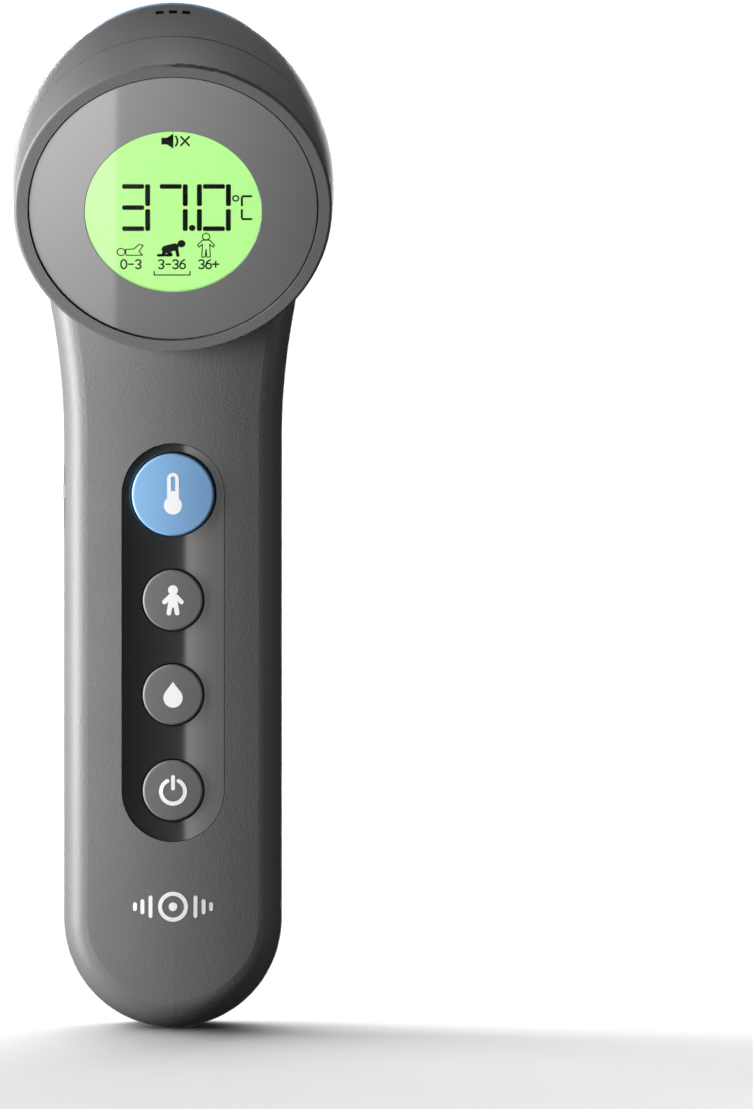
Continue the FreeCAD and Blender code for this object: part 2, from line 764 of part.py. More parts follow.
def battery_door(solid_body, door_body):
    plate = solid_body.cut(door_body).common(
        door_prism(door_half, door_bottom, door_top, thumb_tab_width / 2, thumb_tab_height - door_gap,
                   shelf_depth + shelf_thickness + door_gap))
    hooks = []
    hook_back = handle_depth - wall - hook_clearance
    for side in (-1, 1):
        middle = side * hook_spacing / 2
        hooks.append(at_front(block(middle - hook_width / 2, middle + hook_width / 2,
                                    door_bottom - hook_length, door_bottom + 2.5,
                                    hook_back - hook_thickness, hook_back)))
        hooks.append(at_front(block(middle - hook_width / 2, middle + hook_width / 2,
                                    door_bottom + 0.3, door_bottom + 2.5,
                                    hook_back - 0.2, door_inside + 0.2)))
    grips = [at_front(block(-grip_half, grip_half, up, up + grip_width, handle_depth - grip_depth,
                            handle_depth + 1))
             for up in [door_top - grip_start + grip_pitch * turn for turn in range(grip_count)]]
    return plate.fuse(hooks).cut(grips)


def housing_screws():
    return [at_front(screw(housing_screw_radius, housing_screw_head, 1.6, 7, side * housing_screw_offset,
                           housing_screw_height, shelf_depth + shelf_thickness)) for side in (-1, 1)]


# Sensor end
def sensor_ring():
    ring = at_head(washer(ring_radius, ring_bore, barrel_length, ring_end))
    outer = [edge for edge in ring.Edges
             if isinstance(edge.Curve, Part.Circle) and abs(edge.Curve.Radius - ring_radius) < 1e-3]
    rear = max(outer, key=lambda edge: edge.CenterOfMass.y)
    ring = ring.makeFillet(ring_rounding, [rear])
    spigot = at_head(washer(ring_bore + spigot_wall, ring_bore, end_wall_front + clearance, barrel_length))
    return ring.fuse(spigot).removeSplitter()


def sensor_cone():
    outer = ring_bore - clearance
    mouth_depth = ring_end - 0.5
    return at_head(turned([(cone_mouth, mouth_depth), (outer, mouth_depth), (outer, end_wall_front + 0.3),
                           (outer - 3.4, cone_back), (cone_throat, cone_back)]))


def infrared_sensor():
    can = disc(sensor_radius, sensor_back, sensor_front)
    pins = [disc(0.25, sensor_board_rear, sensor_back, x, up) for x, up in around(3, 1.6, 90)]
    return at_head(can.fuse(pins))


def sensor_filter():
    return at_head(disc(filter_radius, sensor_front, sensor_front + clearance))


def sensor_block():
    solid = disc(block_radius, sensor_board_rear, gasket_front)
    bore = disc(sensor_radius + clearance / 2, sensor_back - clearance, gasket_front)
    return at_head(solid.cut([bore, disc(2.4, sensor_board_rear, gasket_front)]))


def sensor_gasket():
    return at_head(washer(block_radius, sensor_radius + 0.2, gasket_front, cone_back))


def sensor_board():
    plate = disc(sensor_board_radius, sensor_board_depth, sensor_board_rear)
    holes = [disc(screw_radius + clearance, sensor_board_depth, sensor_board_rear, x, up)
             for x, up in around(post_count, post_circle, 30)]
    flat = block(-30, 30, buzzer_up - 2 * clearance, 30, sensor_board_depth, sensor_board_rear)
    return at_head(plate.cut(holes + [flat]))


def sensor_screws():
    """The sensor board's screws, driven from the display side into the rear housing's posts."""
    solids = []
    for x, up in around(post_count, post_circle, 30):
        head = disc(screw_head_radius, sensor_board_depth - 1.0, sensor_board_depth, x, up)
        shank = disc(screw_radius, sensor_board_depth, sensor_board_rear + 4, x, up)
        slot = block(x - 1.2, x + 1.2, up - 0.2, up + 0.2, sensor_board_depth - 1.0, sensor_board_depth - 0.5)
        solids.append(at_head(head.fuse(shank).cut(slot)))
    return solids


def led_board():
    plate = washer(led_circle + 2.0, ring_bore + 1.2, end_wall_front - 1.3, end_wall_front - 0.5)
    notches = [disc(post_radius + 2 * clearance, end_wall_front - 2, end_wall_front, x, up)
               for x, up in around(post_count, post_circle, 30)]
    return at_head(plate.cut(notches))


def guidance_leds():
    half = led_size / 2
    return [at_head(block(x - half, x + half, up - half, up + half, end_wall_front - 0.5, end_wall_front))
            for x, up in around(led_count, led_circle, 0)]


def sensor_cable():
    top_y = head_y + 12 * tilt_sin + (sensor_board_depth - 0.2) * tilt_cos
    top_z = head_height - 12 * tilt_cos + (sensor_board_depth - 0.2) * tilt_sin
    low_y = front_y + board_back
    thick = 0.2
    points = [(top_y, top_z), (top_y + thick * tilt_cos, top_z + thick * tilt_sin),
              (low_y + thick, board_top + 3), (low_y + thick, board_top - 4), (low_y, board_top - 4),
              (low_y, board_top + 3)]
    return strip(points, 4, 9)


def buzzer():
    can = Part.makeCylinder(buzzer_radius, buzzer_height, Vector(0, buzzer_up, -slot_depth + 2),
                            Vector(0, 1, 0))
    port = Part.makeCylinder(1.0, 1.2, Vector(0, buzzer_up + buzzer_height - 1.2, -slot_depth + 2),
                             Vector(0, 1, 0))
    return at_head(can.cut(port))


def main():
    os.makedirs("parts", exist_ok=True)
    solid_body = body(0, 0, barrel_length, ridge_rounding)
    inner_body = body(wall, ledge_back, end_wall_front)
    door_body = body(door_thickness, ledge_back, end_wall_front)
    tray_room = body(wall + 2 * clearance, ledge_back, end_wall_front)
    skin = solid_body.cut(inner_body)
    save("front_housing", front_housing(skin, solid_body))
    save("rear_housing", rear_housing(skin, solid_body))
    save("display_lens", display_lens())
    save("lens_adhesive", lens_adhesive())
    save("lcd_panel", lcd_plate(lcd_front, lcd_back, 0))
    save("lcd_backlight", lcd_plate(lcd_back, backlight_back, 0))
    save("lcd_frame", lcd_frame())
    save("lcd_screws", Part.makeCompound(lcd_screws()))
    save("lcd_ribbon", lcd_ribbon())
    save("keypad_panel", keypad_panel(solid_body))
    for name, up, radius, face in buttons():
        save(name + "_button", button_cap(up, radius, face))
        save(name + "_plunger", plunger(up))
    save("tact_switches", Part.makeCompound(tact_switches()))
    save("main_board", main_board())
    save("board_screws", Part.makeCompound(board_screws()))
    save("microcontroller", chip(0, 99, 7, 7, 1.2, 8))
    save("memory_chip", chip(-8.5, 60, 4, 5, 1.1, 4))
    save("capacitors", Part.makeCompound(capacitors()))
    save("crystal", crystal())
    save("buzzer", buzzer())
    save("mute_slider", mute_slider())
    save("mute_lever", mute_lever())
    save("mute_switch", mute_switch())
    save("battery_tray", battery_tray(tray_room))
    save("battery_left", battery(-1))
    save("battery_right", battery(1))
    save("contact_springs", Part.makeCompound([spring(-1), spring(1)]))
    save("contact_plates", Part.makeCompound([contact_plate(-1), contact_plate(1)]))
    save("contact_bridge", contact_bridge())
    save("battery_door", battery_door(solid_body, door_body))
    save("housing_screws", Part.makeCompound(housing_screws()))
    save("sensor_ring", sensor_ring())
    save("sensor_cone", sensor_cone())
    save("infrared_sensor", infrared_sensor())
    save("sensor_filter", sensor_filter())
    save("sensor_block", sensor_block())
    save("sensor_gasket", sensor_gasket())
    save("sensor_board", sensor_board())
    save("sensor_screws", Part.makeCompound(sensor_screws()))
    save("led_board", led_board())
    save("guidance_leds", Part.makeCompound(guidance_leds()))
    save("sensor_cable", sensor_cable())


main()
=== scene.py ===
import bpy
import bmesh
import math
from mathutils import Matrix, Vector
from mathutils.bvhtree import BVHTree


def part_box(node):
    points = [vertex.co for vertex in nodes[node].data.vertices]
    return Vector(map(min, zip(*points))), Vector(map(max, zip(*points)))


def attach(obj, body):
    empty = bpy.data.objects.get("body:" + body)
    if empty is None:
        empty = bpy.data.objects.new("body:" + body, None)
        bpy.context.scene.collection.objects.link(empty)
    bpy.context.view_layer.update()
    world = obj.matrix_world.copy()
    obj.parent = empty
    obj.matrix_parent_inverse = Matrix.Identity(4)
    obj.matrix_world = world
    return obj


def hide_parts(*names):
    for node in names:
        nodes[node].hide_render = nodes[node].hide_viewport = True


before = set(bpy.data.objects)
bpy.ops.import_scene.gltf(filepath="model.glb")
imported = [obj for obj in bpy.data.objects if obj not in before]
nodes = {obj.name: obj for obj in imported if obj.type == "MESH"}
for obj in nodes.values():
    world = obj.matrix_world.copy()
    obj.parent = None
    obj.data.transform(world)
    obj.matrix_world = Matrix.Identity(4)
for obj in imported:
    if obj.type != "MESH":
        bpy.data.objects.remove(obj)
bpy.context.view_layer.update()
mm = 0.001
print("frame loaded:", len(nodes), "nodes")


def displayFrame():
    # x across the display, y up along it, z out of it, from the front face of the lens
    normal = Vector()
    for face in nodes["display_lens"].data.polygons:
        if face.normal.y < -0.5:
            normal += face.normal * face.area
    normal.normalize()
    low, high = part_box("display_lens")
    middle = (low + high) / 2
    reach = max((vertex.co - middle).dot(normal) for vertex in nodes["display_lens"].data.vertices)
    turn = Matrix((Vector((1, 0, 0)), normal.cross(Vector((1, 0, 0))), normal)).transposed()
    return Matrix.Translation(middle + normal * reach) @ turn.to_4x4()


lensPlace = displayFrame()
lensOutward = lensPlace.to_3x3() @ Vector((0, 0, 1))
towardsUser = Vector((0, -1, 0))


def onDisplay(x, up, out=0.0):
    return lensPlace @ Vector((x, up, out))


def skinOf(node):
    mesh = nodes[node].data
    return BVHTree.FromPolygons([v.co for v in mesh.vertices], [p.vertices for p in mesh.polygons])


frontSkin = skinOf("front_housing")
doorSkin = skinOf("battery_door")


def onSkin(skin, x, z, fromY, direction):
    hit = skin.ray_cast(Vector((x, fromY, z)), Vector((0, direction, 0)))
    return hit[0]


weldGap = 1e-7  # points nearer to each other than this are one
outside = 0.1  # clear of the thermometer on every side


def newPiece(name, data):
    piece = bpy.data.objects.new(name, data)
    bpy.context.scene.collection.objects.link(piece)
    return piece


def meshFrom(name, vertices, faces):
    mesh = bpy.data.meshes.new(name)
    mesh.from_pydata([tuple(vertex) for vertex in vertices], [], faces)
    return mesh


def addMesh(name, vertices, faces, material, smooth=False):
    mesh = meshFrom(name, vertices, faces)
    work = bmesh.new()
    work.from_mesh(mesh)
    bmesh.ops.remove_doubles(work, verts=work.verts, dist=weldGap)
    bmesh.ops.recalc_face_normals(work, faces=work.faces)
    for face in work.faces:
        face.smooth = smooth
    work.to_mesh(mesh)
    work.free()
    mesh.materials.append(material)
    return newPiece(name, mesh)


def onCircle(x, up, radius, angle):
    return x + radius * math.cos(angle), up + radius * math.sin(angle)


def dot(x, up, radius, steps=28):
    return [onCircle(x, up, radius, 2 * math.pi * k / steps) for k in range(steps)]


def bar(x0, up0, x1, up1, width, steps=7):
    # a straight bar with round ends
    angle = math.atan2(up1 - up0, x1 - x0)
    ends = ((x1, up1, angle - math.pi / 2), (x0, up0, angle + math.pi / 2))
    return [onCircle(x, up, width / 2, start + math.pi * k / steps)
            for x, up, start in ends for k in range(steps + 1)]


def band(x, up, inner, outer, start=0, end=360, steps=24):
    # a ring, or part of one, as short four-cornered pieces
    angles = [math.radians(start + (end - start) * k / steps) for k in range(steps + 1)]
    return [[onCircle(x, up, inner, a), onCircle(x, up, outer, a), onCircle(x, up, outer, b),
             onCircle(x, up, inner, b)] for a, b in zip(angles, angles[1:])]


def line(points, width):
    return [bar(*points[k], *points[k + 1], width) for k in range(len(points) - 1)]


def ovalLine(x, up, wide, tall, start, end, steps, width):
    angles = [math.radians(start + (end - start) * k / steps) for k in range(steps + 1)]
    return line([(x + wide * math.cos(a), up + tall * math.sin(a)) for a in angles], width)


def printed(name, shapes, place, outward, material, body, height=0.03 * mm, sink=0.02 * mm):
    # each outline becomes a thin raised plate; place gives the surface point for (x, up), and the
    # plates differ a little in height so that no two of them share a face where they cross
    heights = 7
    heightStep = 0.002 * mm
    vertices = []
    faces = []
    for turn, shape in enumerate(shapes):
        base = len(vertices)
        count = len(shape)
        surface = [place(x, up) for x, up in shape]
        lift = height + turn % heights * heightStep
        vertices += [point + outward * lift for point in surface]
        vertices += [point - outward * sink for point in surface]
        faces.append(tuple(range(base, base + count)))
        faces.append(tuple(reversed(range(base + count, base + 2 * count))))
        for k in range(count):
            after = (k + 1) % count
            faces.append((base + k, base + count + k, base + count + after, base + after))
    mesh = meshFrom(name, vertices, faces)
    work = bmesh.new()
    work.from_mesh(mesh)
    bmesh.ops.recalc_face_normals(work, faces=work.faces)
    bmesh.ops.triangulate(work, faces=[face for face in work.faces if len(face.verts) > 4])
    work.to_mesh(mesh)
    work.free()
    mesh.materials.append(material)
    piece = newPiece(name, mesh)
    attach(piece, body)
    return piece


def newGroup(name, inputs, outputs):
    group = bpy.data.node_groups.new(name, "ShaderNodeTree")
    for socketName, value in inputs:
        socket = group.interface.new_socket(socketName, in_out="INPUT", socket_type="NodeSocketFloat")
        socket.default_value = value
    for socketName, kind in outputs:
        group.interface.new_socket(socketName, in_out="OUTPUT", socket_type=kind)
    return group, group.nodes.new("NodeGroupInput"), group.nodes.new("NodeGroupOutput")


def setInputs(node, values):
    for name, value in values.items():
        node.inputs[name].default_value = value


def makeMouldGrain():
    # the fine pitted texture of a spark-eroded mould, with slow changes of gloss and tone from handling
    look = {"pitDetail": 3.0, "pitRoughness": 0.65, "slowScale": 55.0, "slowDetail": 4.0, "middle": 0.5}
    group, inputs, outputs = newGroup(
        "mouldGrain",
        [("Grain Scale", 3200.0), ("Grain Depth", 1.0), ("Gloss Base", 0.45), ("Gloss Spread", 0.08),
         ("Tone Spread", 0.06)],
        [("Height", "NodeSocketFloat"), ("Roughness", "NodeSocketFloat"), ("Tone", "NodeSocketFloat")])
    links = group.links
    place = group.nodes.new("ShaderNodeTexCoord")
    pits = group.nodes.new("ShaderNodeTexNoise")
    cells = group.nodes.new("ShaderNodeTexVoronoi")
    cells.feature = "SMOOTH_F1"
    slow = group.nodes.new("ShaderNodeTexNoise")
    setInputs(pits, {"Detail": look["pitDetail"], "Roughness": look["pitRoughness"]})
    setInputs(slow, {"Scale": look["slowScale"], "Detail": look["slowDetail"]})
    for pattern in (pits, cells, slow):
        links.new(place.outputs["Object"], pattern.inputs["Vector"])
    for pattern in (pits, cells):
        links.new(inputs.outputs["Grain Scale"], pattern.inputs["Scale"])
    mixed = mathIn(group, "ADD", pits.outputs["Fac"], cells.outputs["Distance"])
    deep = mathIn(group, "MULTIPLY", mixed, inputs.outputs["Grain Depth"])
    links.new(deep, outputs.inputs["Height"])
    centred = mathIn(group, "SUBTRACT", slow.outputs["Fac"], look["middle"])
    spread = mathIn(group, "MULTIPLY", centred, inputs.outputs["Gloss Spread"])
    links.new(mathIn(group, "ADD", spread, inputs.outputs["Gloss Base"]), outputs.inputs["Roughness"])
    fine = mathIn(group, "SUBTRACT", pits.outputs["Fac"], look["middle"])
    both = mathIn(group, "ADD", fine, centred)
    tone = mathIn(group, "MULTIPLY", both, inputs.outputs["Tone Spread"])
    links.new(mathIn(group, "ADD", tone, look["middle"]), outputs.inputs["Tone"])
    return group


def makeSurfaceWear():
    # faint hairlines and wiped smears that only show in the gloss
    look = {"smearDetail": 5.0, "smearDistortion": 0.6, "hairDetail": 1.0, "hairStretch": (1.0, 0.15, 0.15)}
    group, inputs, outputs = newGroup(
        "surfaceWear",
        [("Smear Scale", 90.0), ("Gloss Base", 0.08), ("Gloss Spread", 0.06), ("Hairline Scale", 700.0)],
        [("Roughness", "NodeSocketFloat"), ("Height", "NodeSocketFloat")])
    links = group.links
    place = group.nodes.new("ShaderNodeTexCoord")
    smear = group.nodes.new("ShaderNodeTexNoise")
    stretch = group.nodes.new("ShaderNodeMapping")
    hairs = group.nodes.new("ShaderNodeTexNoise")
    setInputs(smear, {"Detail": look["smearDetail"], "Distortion": look["smearDistortion"]})
    setInputs(stretch, {"Scale": look["hairStretch"]})
    setInputs(hairs, {"Detail": look["hairDetail"]})
    links.new(place.outputs["Object"], smear.inputs["Vector"])
    links.new(place.outputs["Object"], stretch.inputs["Vector"])
    links.new(stretch.outputs["Vector"], hairs.inputs["Vector"])
    links.new(inputs.outputs["Smear Scale"], smear.inputs["Scale"])
    links.new(inputs.outputs["Hairline Scale"], hairs.inputs["Scale"])
    spread = mathIn(group, "MULTIPLY", smear.outputs["Fac"], inputs.outputs["Gloss Spread"])
    links.new(mathIn(group, "ADD", spread, inputs.outputs["Gloss Base"]), outputs.inputs["Roughness"])
    links.new(hairs.outputs["Fac"], outputs.inputs["Height"])
    return group


def mathIn(tree, operation, first, second):
    node = tree.nodes.new("ShaderNodeMath")
    node.operation = operation
    for socket, value in zip(node.inputs, (first, second)):
        if isinstance(value, float):
            socket.default_value = value
        else:
            tree.links.new(value, socket)
    return node.outputs[0]


mouldGrain = makeMouldGrain()
surfaceWear = makeSurfaceWear()
print("shader groups built")


def newMaterial(name):
    material = bpy.data.materials.new(name)
    material.use_nodes = True
    tree = material.node_tree
    return material, tree, tree.nodes["Principled BSDF"]


def placeGroup(tree, group, values):
    node = tree.nodes.new("ShaderNodeGroup")
    node.node_tree = group
    setInputs(node, values)
    return node


def addBump(tree, shader, height, strength, distance):
    bump = tree.nodes.new("ShaderNodeBump")
    setInputs(bump, {"Strength": strength, "Distance": distance})
    tree.links.new(height, bump.inputs["Height"])
    tree.links.new(bump.outputs["Normal"], shader.inputs["Normal"])


def mixTones(tree, factor, first, second, target):
    mix = tree.nodes.new("ShaderNodeMix")
    mix.data_type = "RGBA"
    setInputs(mix, {"A": (*first, 1), "B": (*second, 1)})
    tree.links.new(factor, mix.inputs["Factor"])
    tree.links.new(mix.outputs["Result"], target)


def noiseOver(tree, scale):
    place = tree.nodes.new("ShaderNodeTexCoord")
    noise = tree.nodes.new("ShaderNodeTexNoise")
    setInputs(noise, {"Scale": scale})
    tree.links.new(place.outputs["Object"], noise.inputs["Vector"])
    return noise.outputs["Fac"]


def alongAxis(tree, axis, values):
    # a value that changes along one axis of the piece
    place = tree.nodes.new("ShaderNodeTexCoord")
    split = tree.nodes.new("ShaderNodeSeparateXYZ")
    change = tree.nodes.new("ShaderNodeMapRange")
    setInputs(change, values)
    tree.links.new(place.outputs["Object"], split.inputs["Vector"])
    tree.links.new(split.outputs[axis], change.inputs["Value"])
    return change.outputs["Result"]


def wornGloss(tree, shader, look):
    # gives the shader smeared gloss, and puts out the height of the hairlines
    wear = placeGroup(tree, surfaceWear, {
        "Smear Scale": look["smearScale"], "Gloss Base": look["gloss"], "Gloss Spread": look["glossSpread"]})
    tree.links.new(wear.outputs["Roughness"], shader.inputs["Roughness"])
    return wear.outputs["Height"]


def grainedPlastic(name, look):
    material, tree, shader = newMaterial(name)
    grain = placeGroup(tree, mouldGrain, {
        "Grain Scale": look["grainScale"], "Gloss Base": look["gloss"], "Gloss Spread": look["glossSpread"],
        "Tone Spread": look["toneSpread"]})
    mixTones(tree, grain.outputs["Tone"], look["dark"], look["light"], shader.inputs["Base Color"])
    tree.links.new(grain.outputs["Roughness"], shader.inputs["Roughness"])
    setInputs(shader, {"Specular IOR Level": look["specular"]})
    addBump(tree, shader, grain.outputs["Height"], look["bump"], look["bumpDepth"])
    return material


def glossPlastic(name, look):
    hairlineDepth = 0.002 * mm
    material, tree, shader = newMaterial(name)
    hairlines = wornGloss(tree, shader, look)
    tone = noiseOver(tree, look["smearScale"])
    mixTones(tree, tone, look["dark"], look["light"], shader.inputs["Base Color"])
    setInputs(shader, {"Specular IOR Level": look["specular"]})
    addBump(tree, shader, hairlines, look["bump"], hairlineDepth)
    return material


def backlitWithPaintedSheen(name, look):
    # the backlight glows evenly; its emission is painted a little brighter along its left side, a painted
    # reflection of the light from the left
    material, tree, shader = newMaterial(name)
    wornGloss(tree, shader, look)
    # painted reflection: the glow's colour runs from the brighter left side to the right
    across = alongAxis(tree, "X", {"From Min": -look["reach"], "From Max": look["reach"]})
    mixTones(tree, across, look["bright"], look["far"], shader.inputs["Emission Color"])
    setInputs(shader, {"Base Color": (*look["body"], 1), "Emission Strength": look["power"],
                       "Specular IOR Level": look["specular"]})
    return material


def clearPlastic(name, look):
    material, tree, shader = newMaterial(name)
    wornGloss(tree, shader, look)
    setInputs(shader, {"Base Color": (*look["tint"], 1), "Transmission Weight": look["clear"],
                       "IOR": look["ior"]})
    return material


def turnedMetal(name, look):
    material, tree, shader = newMaterial(name)
    hairlines = wornGloss(tree, shader, look)
    tone = noiseOver(tree, look["toneScale"])
    mixTones(tree, tone, look["dark"], look["light"], shader.inputs["Base Color"])
    setInputs(shader, {"Metallic": 1.0})
    addBump(tree, shader, hairlines, look["bump"], look["bumpDepth"])
    return material


def grey(value):
    return (value, value, value * 1.01)


housingLook = {
    "dark": grey(0.125), "light": grey(0.175), "gloss": 0.46, "glossSpread": 0.08, "specular": 0.4,
    "grainScale": 2600.0, "toneSpread": 0.5, "bump": 0.5, "bumpDepth": 0.05 * mm}
buttonLook = {
    "dark": grey(0.135), "light": grey(0.165), "gloss": 0.42, "glossSpread": 0.06, "specular": 0.4,
    "grainScale": 4200.0, "toneSpread": 0.4, "bump": 0.10, "bumpDepth": 0.03 * mm}
measureLook = {
    "dark": (0.17, 0.355, 0.61), "light": (0.205, 0.40, 0.66), "gloss": 0.38, "glossSpread": 0.05,
    "specular": 0.4, "grainScale": 4200.0, "toneSpread": 0.4, "bump": 0.05, "bumpDepth": 0.03 * mm}
keypadLook = {
    "dark": grey(0.030), "light": grey(0.036), "gloss": 0.10, "glossSpread": 0.05, "specular": 0.7,
    "smearScale": 120.0, "bump": 0.05}
lensLook = {
    "dark": grey(0.125), "light": grey(0.135), "gloss": 0.04, "glossSpread": 0.03, "specular": 0.6,
    "smearScale": 70.0, "bump": 0.02}
# bright to far is a painted reflection across the display's backlit glow
displayLook = {
    "bright": (0.52, 0.97, 0.33), "far": (0.47, 0.97, 0.29), "body": (0.05, 0.10, 0.03), "reach": 14 * mm,
    "power": 0.97, "gloss": 0.25, "glossSpread": 0.05, "smearScale": 90.0, "specular": 0.2}
windowLook = {
    "tint": (1.0, 1.0, 1.0), "clear": 1.0, "ior": 1.31, "gloss": 0.0, "glossSpread": 0.03,
    "smearScale": 60.0}
ringLook = {
    "tint": (0.30, 0.60, 0.95), "clear": 0.35, "ior": 1.45, "gloss": 0.30, "glossSpread": 0.08,
    "smearScale": 60.0}
blackLook = {
    "dark": grey(0.012), "light": grey(0.022), "gloss": 0.5, "glossSpread": 0.1, "specular": 0.3,
    "grainScale": 2500.0, "toneSpread": 0.4, "bump": 0.1, "bumpDepth": 0.04 * mm}
sliderLook = {
    "dark": grey(0.42), "light": grey(0.50), "gloss": 0.4, "glossSpread": 0.06, "specular": 0.4,
    "grainScale": 3600.0, "toneSpread": 0.3, "bump": 0.05, "bumpDepth": 0.03 * mm}
inkLook = {
    "dark": grey(0.90), "light": grey(0.95), "gloss": 0.45, "glossSpread": 0.05, "specular": 0.3,
    "grainScale": 6000.0, "toneSpread": 0.2, "bump": 0.03, "bumpDepth": 0.01 * mm}
liquidInkLook = {
    "dark": grey(0.004), "light": grey(0.008), "gloss": 0.35, "glossSpread": 0.05, "specular": 0.2,
    "smearScale": 200.0, "bump": 0.0}
boardLook = {
    "dark": (0.005, 0.06, 0.02), "light": (0.02, 0.13, 0.05), "gloss": 0.3, "glossSpread": 0.1,
    "specular": 0.5, "smearScale": 900.0, "bump": 0.1}
steelLook = {
    "dark": grey(0.45), "light": grey(0.62), "gloss": 0.25, "glossSpread": 0.15, "smearScale": 400.0,
    "toneScale": 300.0, "bump": 0.3, "bumpDepth": 0.01 * mm}
amberLook = {
    "dark": (0.22, 0.08, 0.01), "light": (0.35, 0.14, 0.02), "gloss": 0.3, "glossSpread": 0.1,
    "specular": 0.5, "smearScale": 300.0, "bump": 0.05}
cellLook = {
    "dark": (0.10, 0.11, 0.13), "light": (0.14, 0.15, 0.17), "gloss": 0.25, "glossSpread": 0.1,
    "specular": 0.6, "smearScale": 80.0, "bump": 0.03}

housing = grainedPlastic("housingGrey", housingLook)
buttonGrey = grainedPlastic("buttonGrey", buttonLook)
measureBlue = grainedPlastic("measureBlue", measureLook)
keypadGloss = glossPlastic("keypadGloss", keypadLook)
lensGrey = glossPlastic("lensGrey", lensLook)
displayGlowWithPaintedSheen = backlitWithPaintedSheen("displayGlowWithPaintedSheen", displayLook)
clearWindow = clearPlastic("clearWindow", windowLook)
ringBlue = clearPlastic("ringBlue", ringLook)
mouldBlack = grainedPlastic("mouldBlack", blackLook)
sliderGrey = grainedPlastic("sliderGrey", sliderLook)
printWhite = grainedPlastic("printWhite", inkLook)
liquidInk = glossPlastic("liquidInk", liquidInkLook)
boardGreen = glossPlastic("boardGreen", boardLook)
platedSteel = turnedMetal("platedSteel", steelLook)
filmAmber = glossPlastic("filmAmber", amberLook)
cellWrap = glossPlastic("cellWrap", cellLook)

nodeFinish = {
    "front_housing": housing, "rear_housing": housing, "battery_door": housing,
    "keypad_panel": keypadGloss, "measure_button": measureBlue,
    "age_button": buttonGrey, "liquid_button": buttonGrey, "power_button": buttonGrey,
    "mute_slider": sliderGrey, "mute_lever": sliderGrey, "sensor_ring": ringBlue,
    "sensor_cone": mouldBlack, "buzzer": mouldBlack, "mute_switch": mouldBlack, "battery_tray": mouldBlack,
    "microcontroller": mouldBlack, "memory_chip": mouldBlack, "tact_switches": mouldBlack,
    "lens_adhesive": mouldBlack, "sensor_gasket": mouldBlack, "sensor_filter": keypadGloss,
    "lcd_frame": printWhite, "lcd_backlight": printWhite, "guidance_leds": printWhite,
    "main_board": boardGreen, "sensor_board": boardGreen, "led_board": boardGreen,
    "lcd_ribbon": filmAmber, "sensor_cable": filmAmber, "capacitors": filmAmber,
    "battery_left": cellWrap, "battery_right": cellWrap}


def finishNodes():
    for name, node in nodes.items():
        material = nodeFinish.get(name, sliderGrey if name.endswith("_plunger") else platedSteel)
        for slot in node.material_slots:
            slot.material = material


finishNodes()
print("materials placed on the frame")


def newTree(name, inputs):
    tree = bpy.data.node_groups.new(name, "GeometryNodeTree")
    tree.interface.new_socket("Geometry", in_out="INPUT", socket_type="NodeSocketGeometry")
    for socketName, kind, value in inputs:
        socket = tree.interface.new_socket(socketName, in_out="INPUT", socket_type=kind)
        if value is not None:
            socket.default_value = value
    tree.interface.new_socket("Geometry", in_out="OUTPUT", socket_type="NodeSocketGeometry")
    return tree, tree.nodes.new("NodeGroupInput"), tree.nodes.new("NodeGroupOutput")


def finishTree(tree, instances, inputs, outputs):
    real = tree.nodes.new("GeometryNodeRealizeInstances")
    paint = tree.nodes.new("GeometryNodeSetMaterial")
    tree.links.new(instances, real.inputs["Geometry"])
    tree.links.new(real.outputs["Geometry"], paint.inputs["Geometry"])
    tree.links.new(inputs.outputs["Material"], paint.inputs["Material"])
    tree.links.new(paint.outputs["Geometry"], outputs.inputs["Geometry"])


def bakeTree(name, base, tree, values, place, body):
    # runs the tree on the base mesh, keeps the result as a plain mesh and sets it in place
    holder = newPiece(name + "Base", base)
    modifier = holder.modifiers.new(name, "NODES")
    modifier.node_group = tree
    for item in tree.interface.items_tree:
        if item.item_type == "SOCKET" and item.in_out == "INPUT" and item.name in values:
            modifier[item.identifier] = values[item.name]
    bpy.context.view_layer.update()
    graph = bpy.context.evaluated_depsgraph_get()
    mesh = bpy.data.meshes.new_from_object(holder.evaluated_get(graph))
    bpy.data.objects.remove(holder)
    mesh.name = name
    mesh.transform(place)
    piece = newPiece(name, mesh)
    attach(piece, body)
    return piece


def pointMesh(name, points, **numbers):
    # loose points, each with its own number under every name given
    mesh = meshFrom(name, points, [])
    for attribute, values in numbers.items():
        mesh.attributes.new(attribute, "FLOAT", "POINT").data.foreach_set("value", values)
    return mesh


def pointNumber(tree, name):
    number = tree.nodes.new("GeometryNodeInputNamedAttribute")
    number.data_type = "FLOAT"
    setInputs(number, {"Name": name})
    return number.outputs["Attribute"]


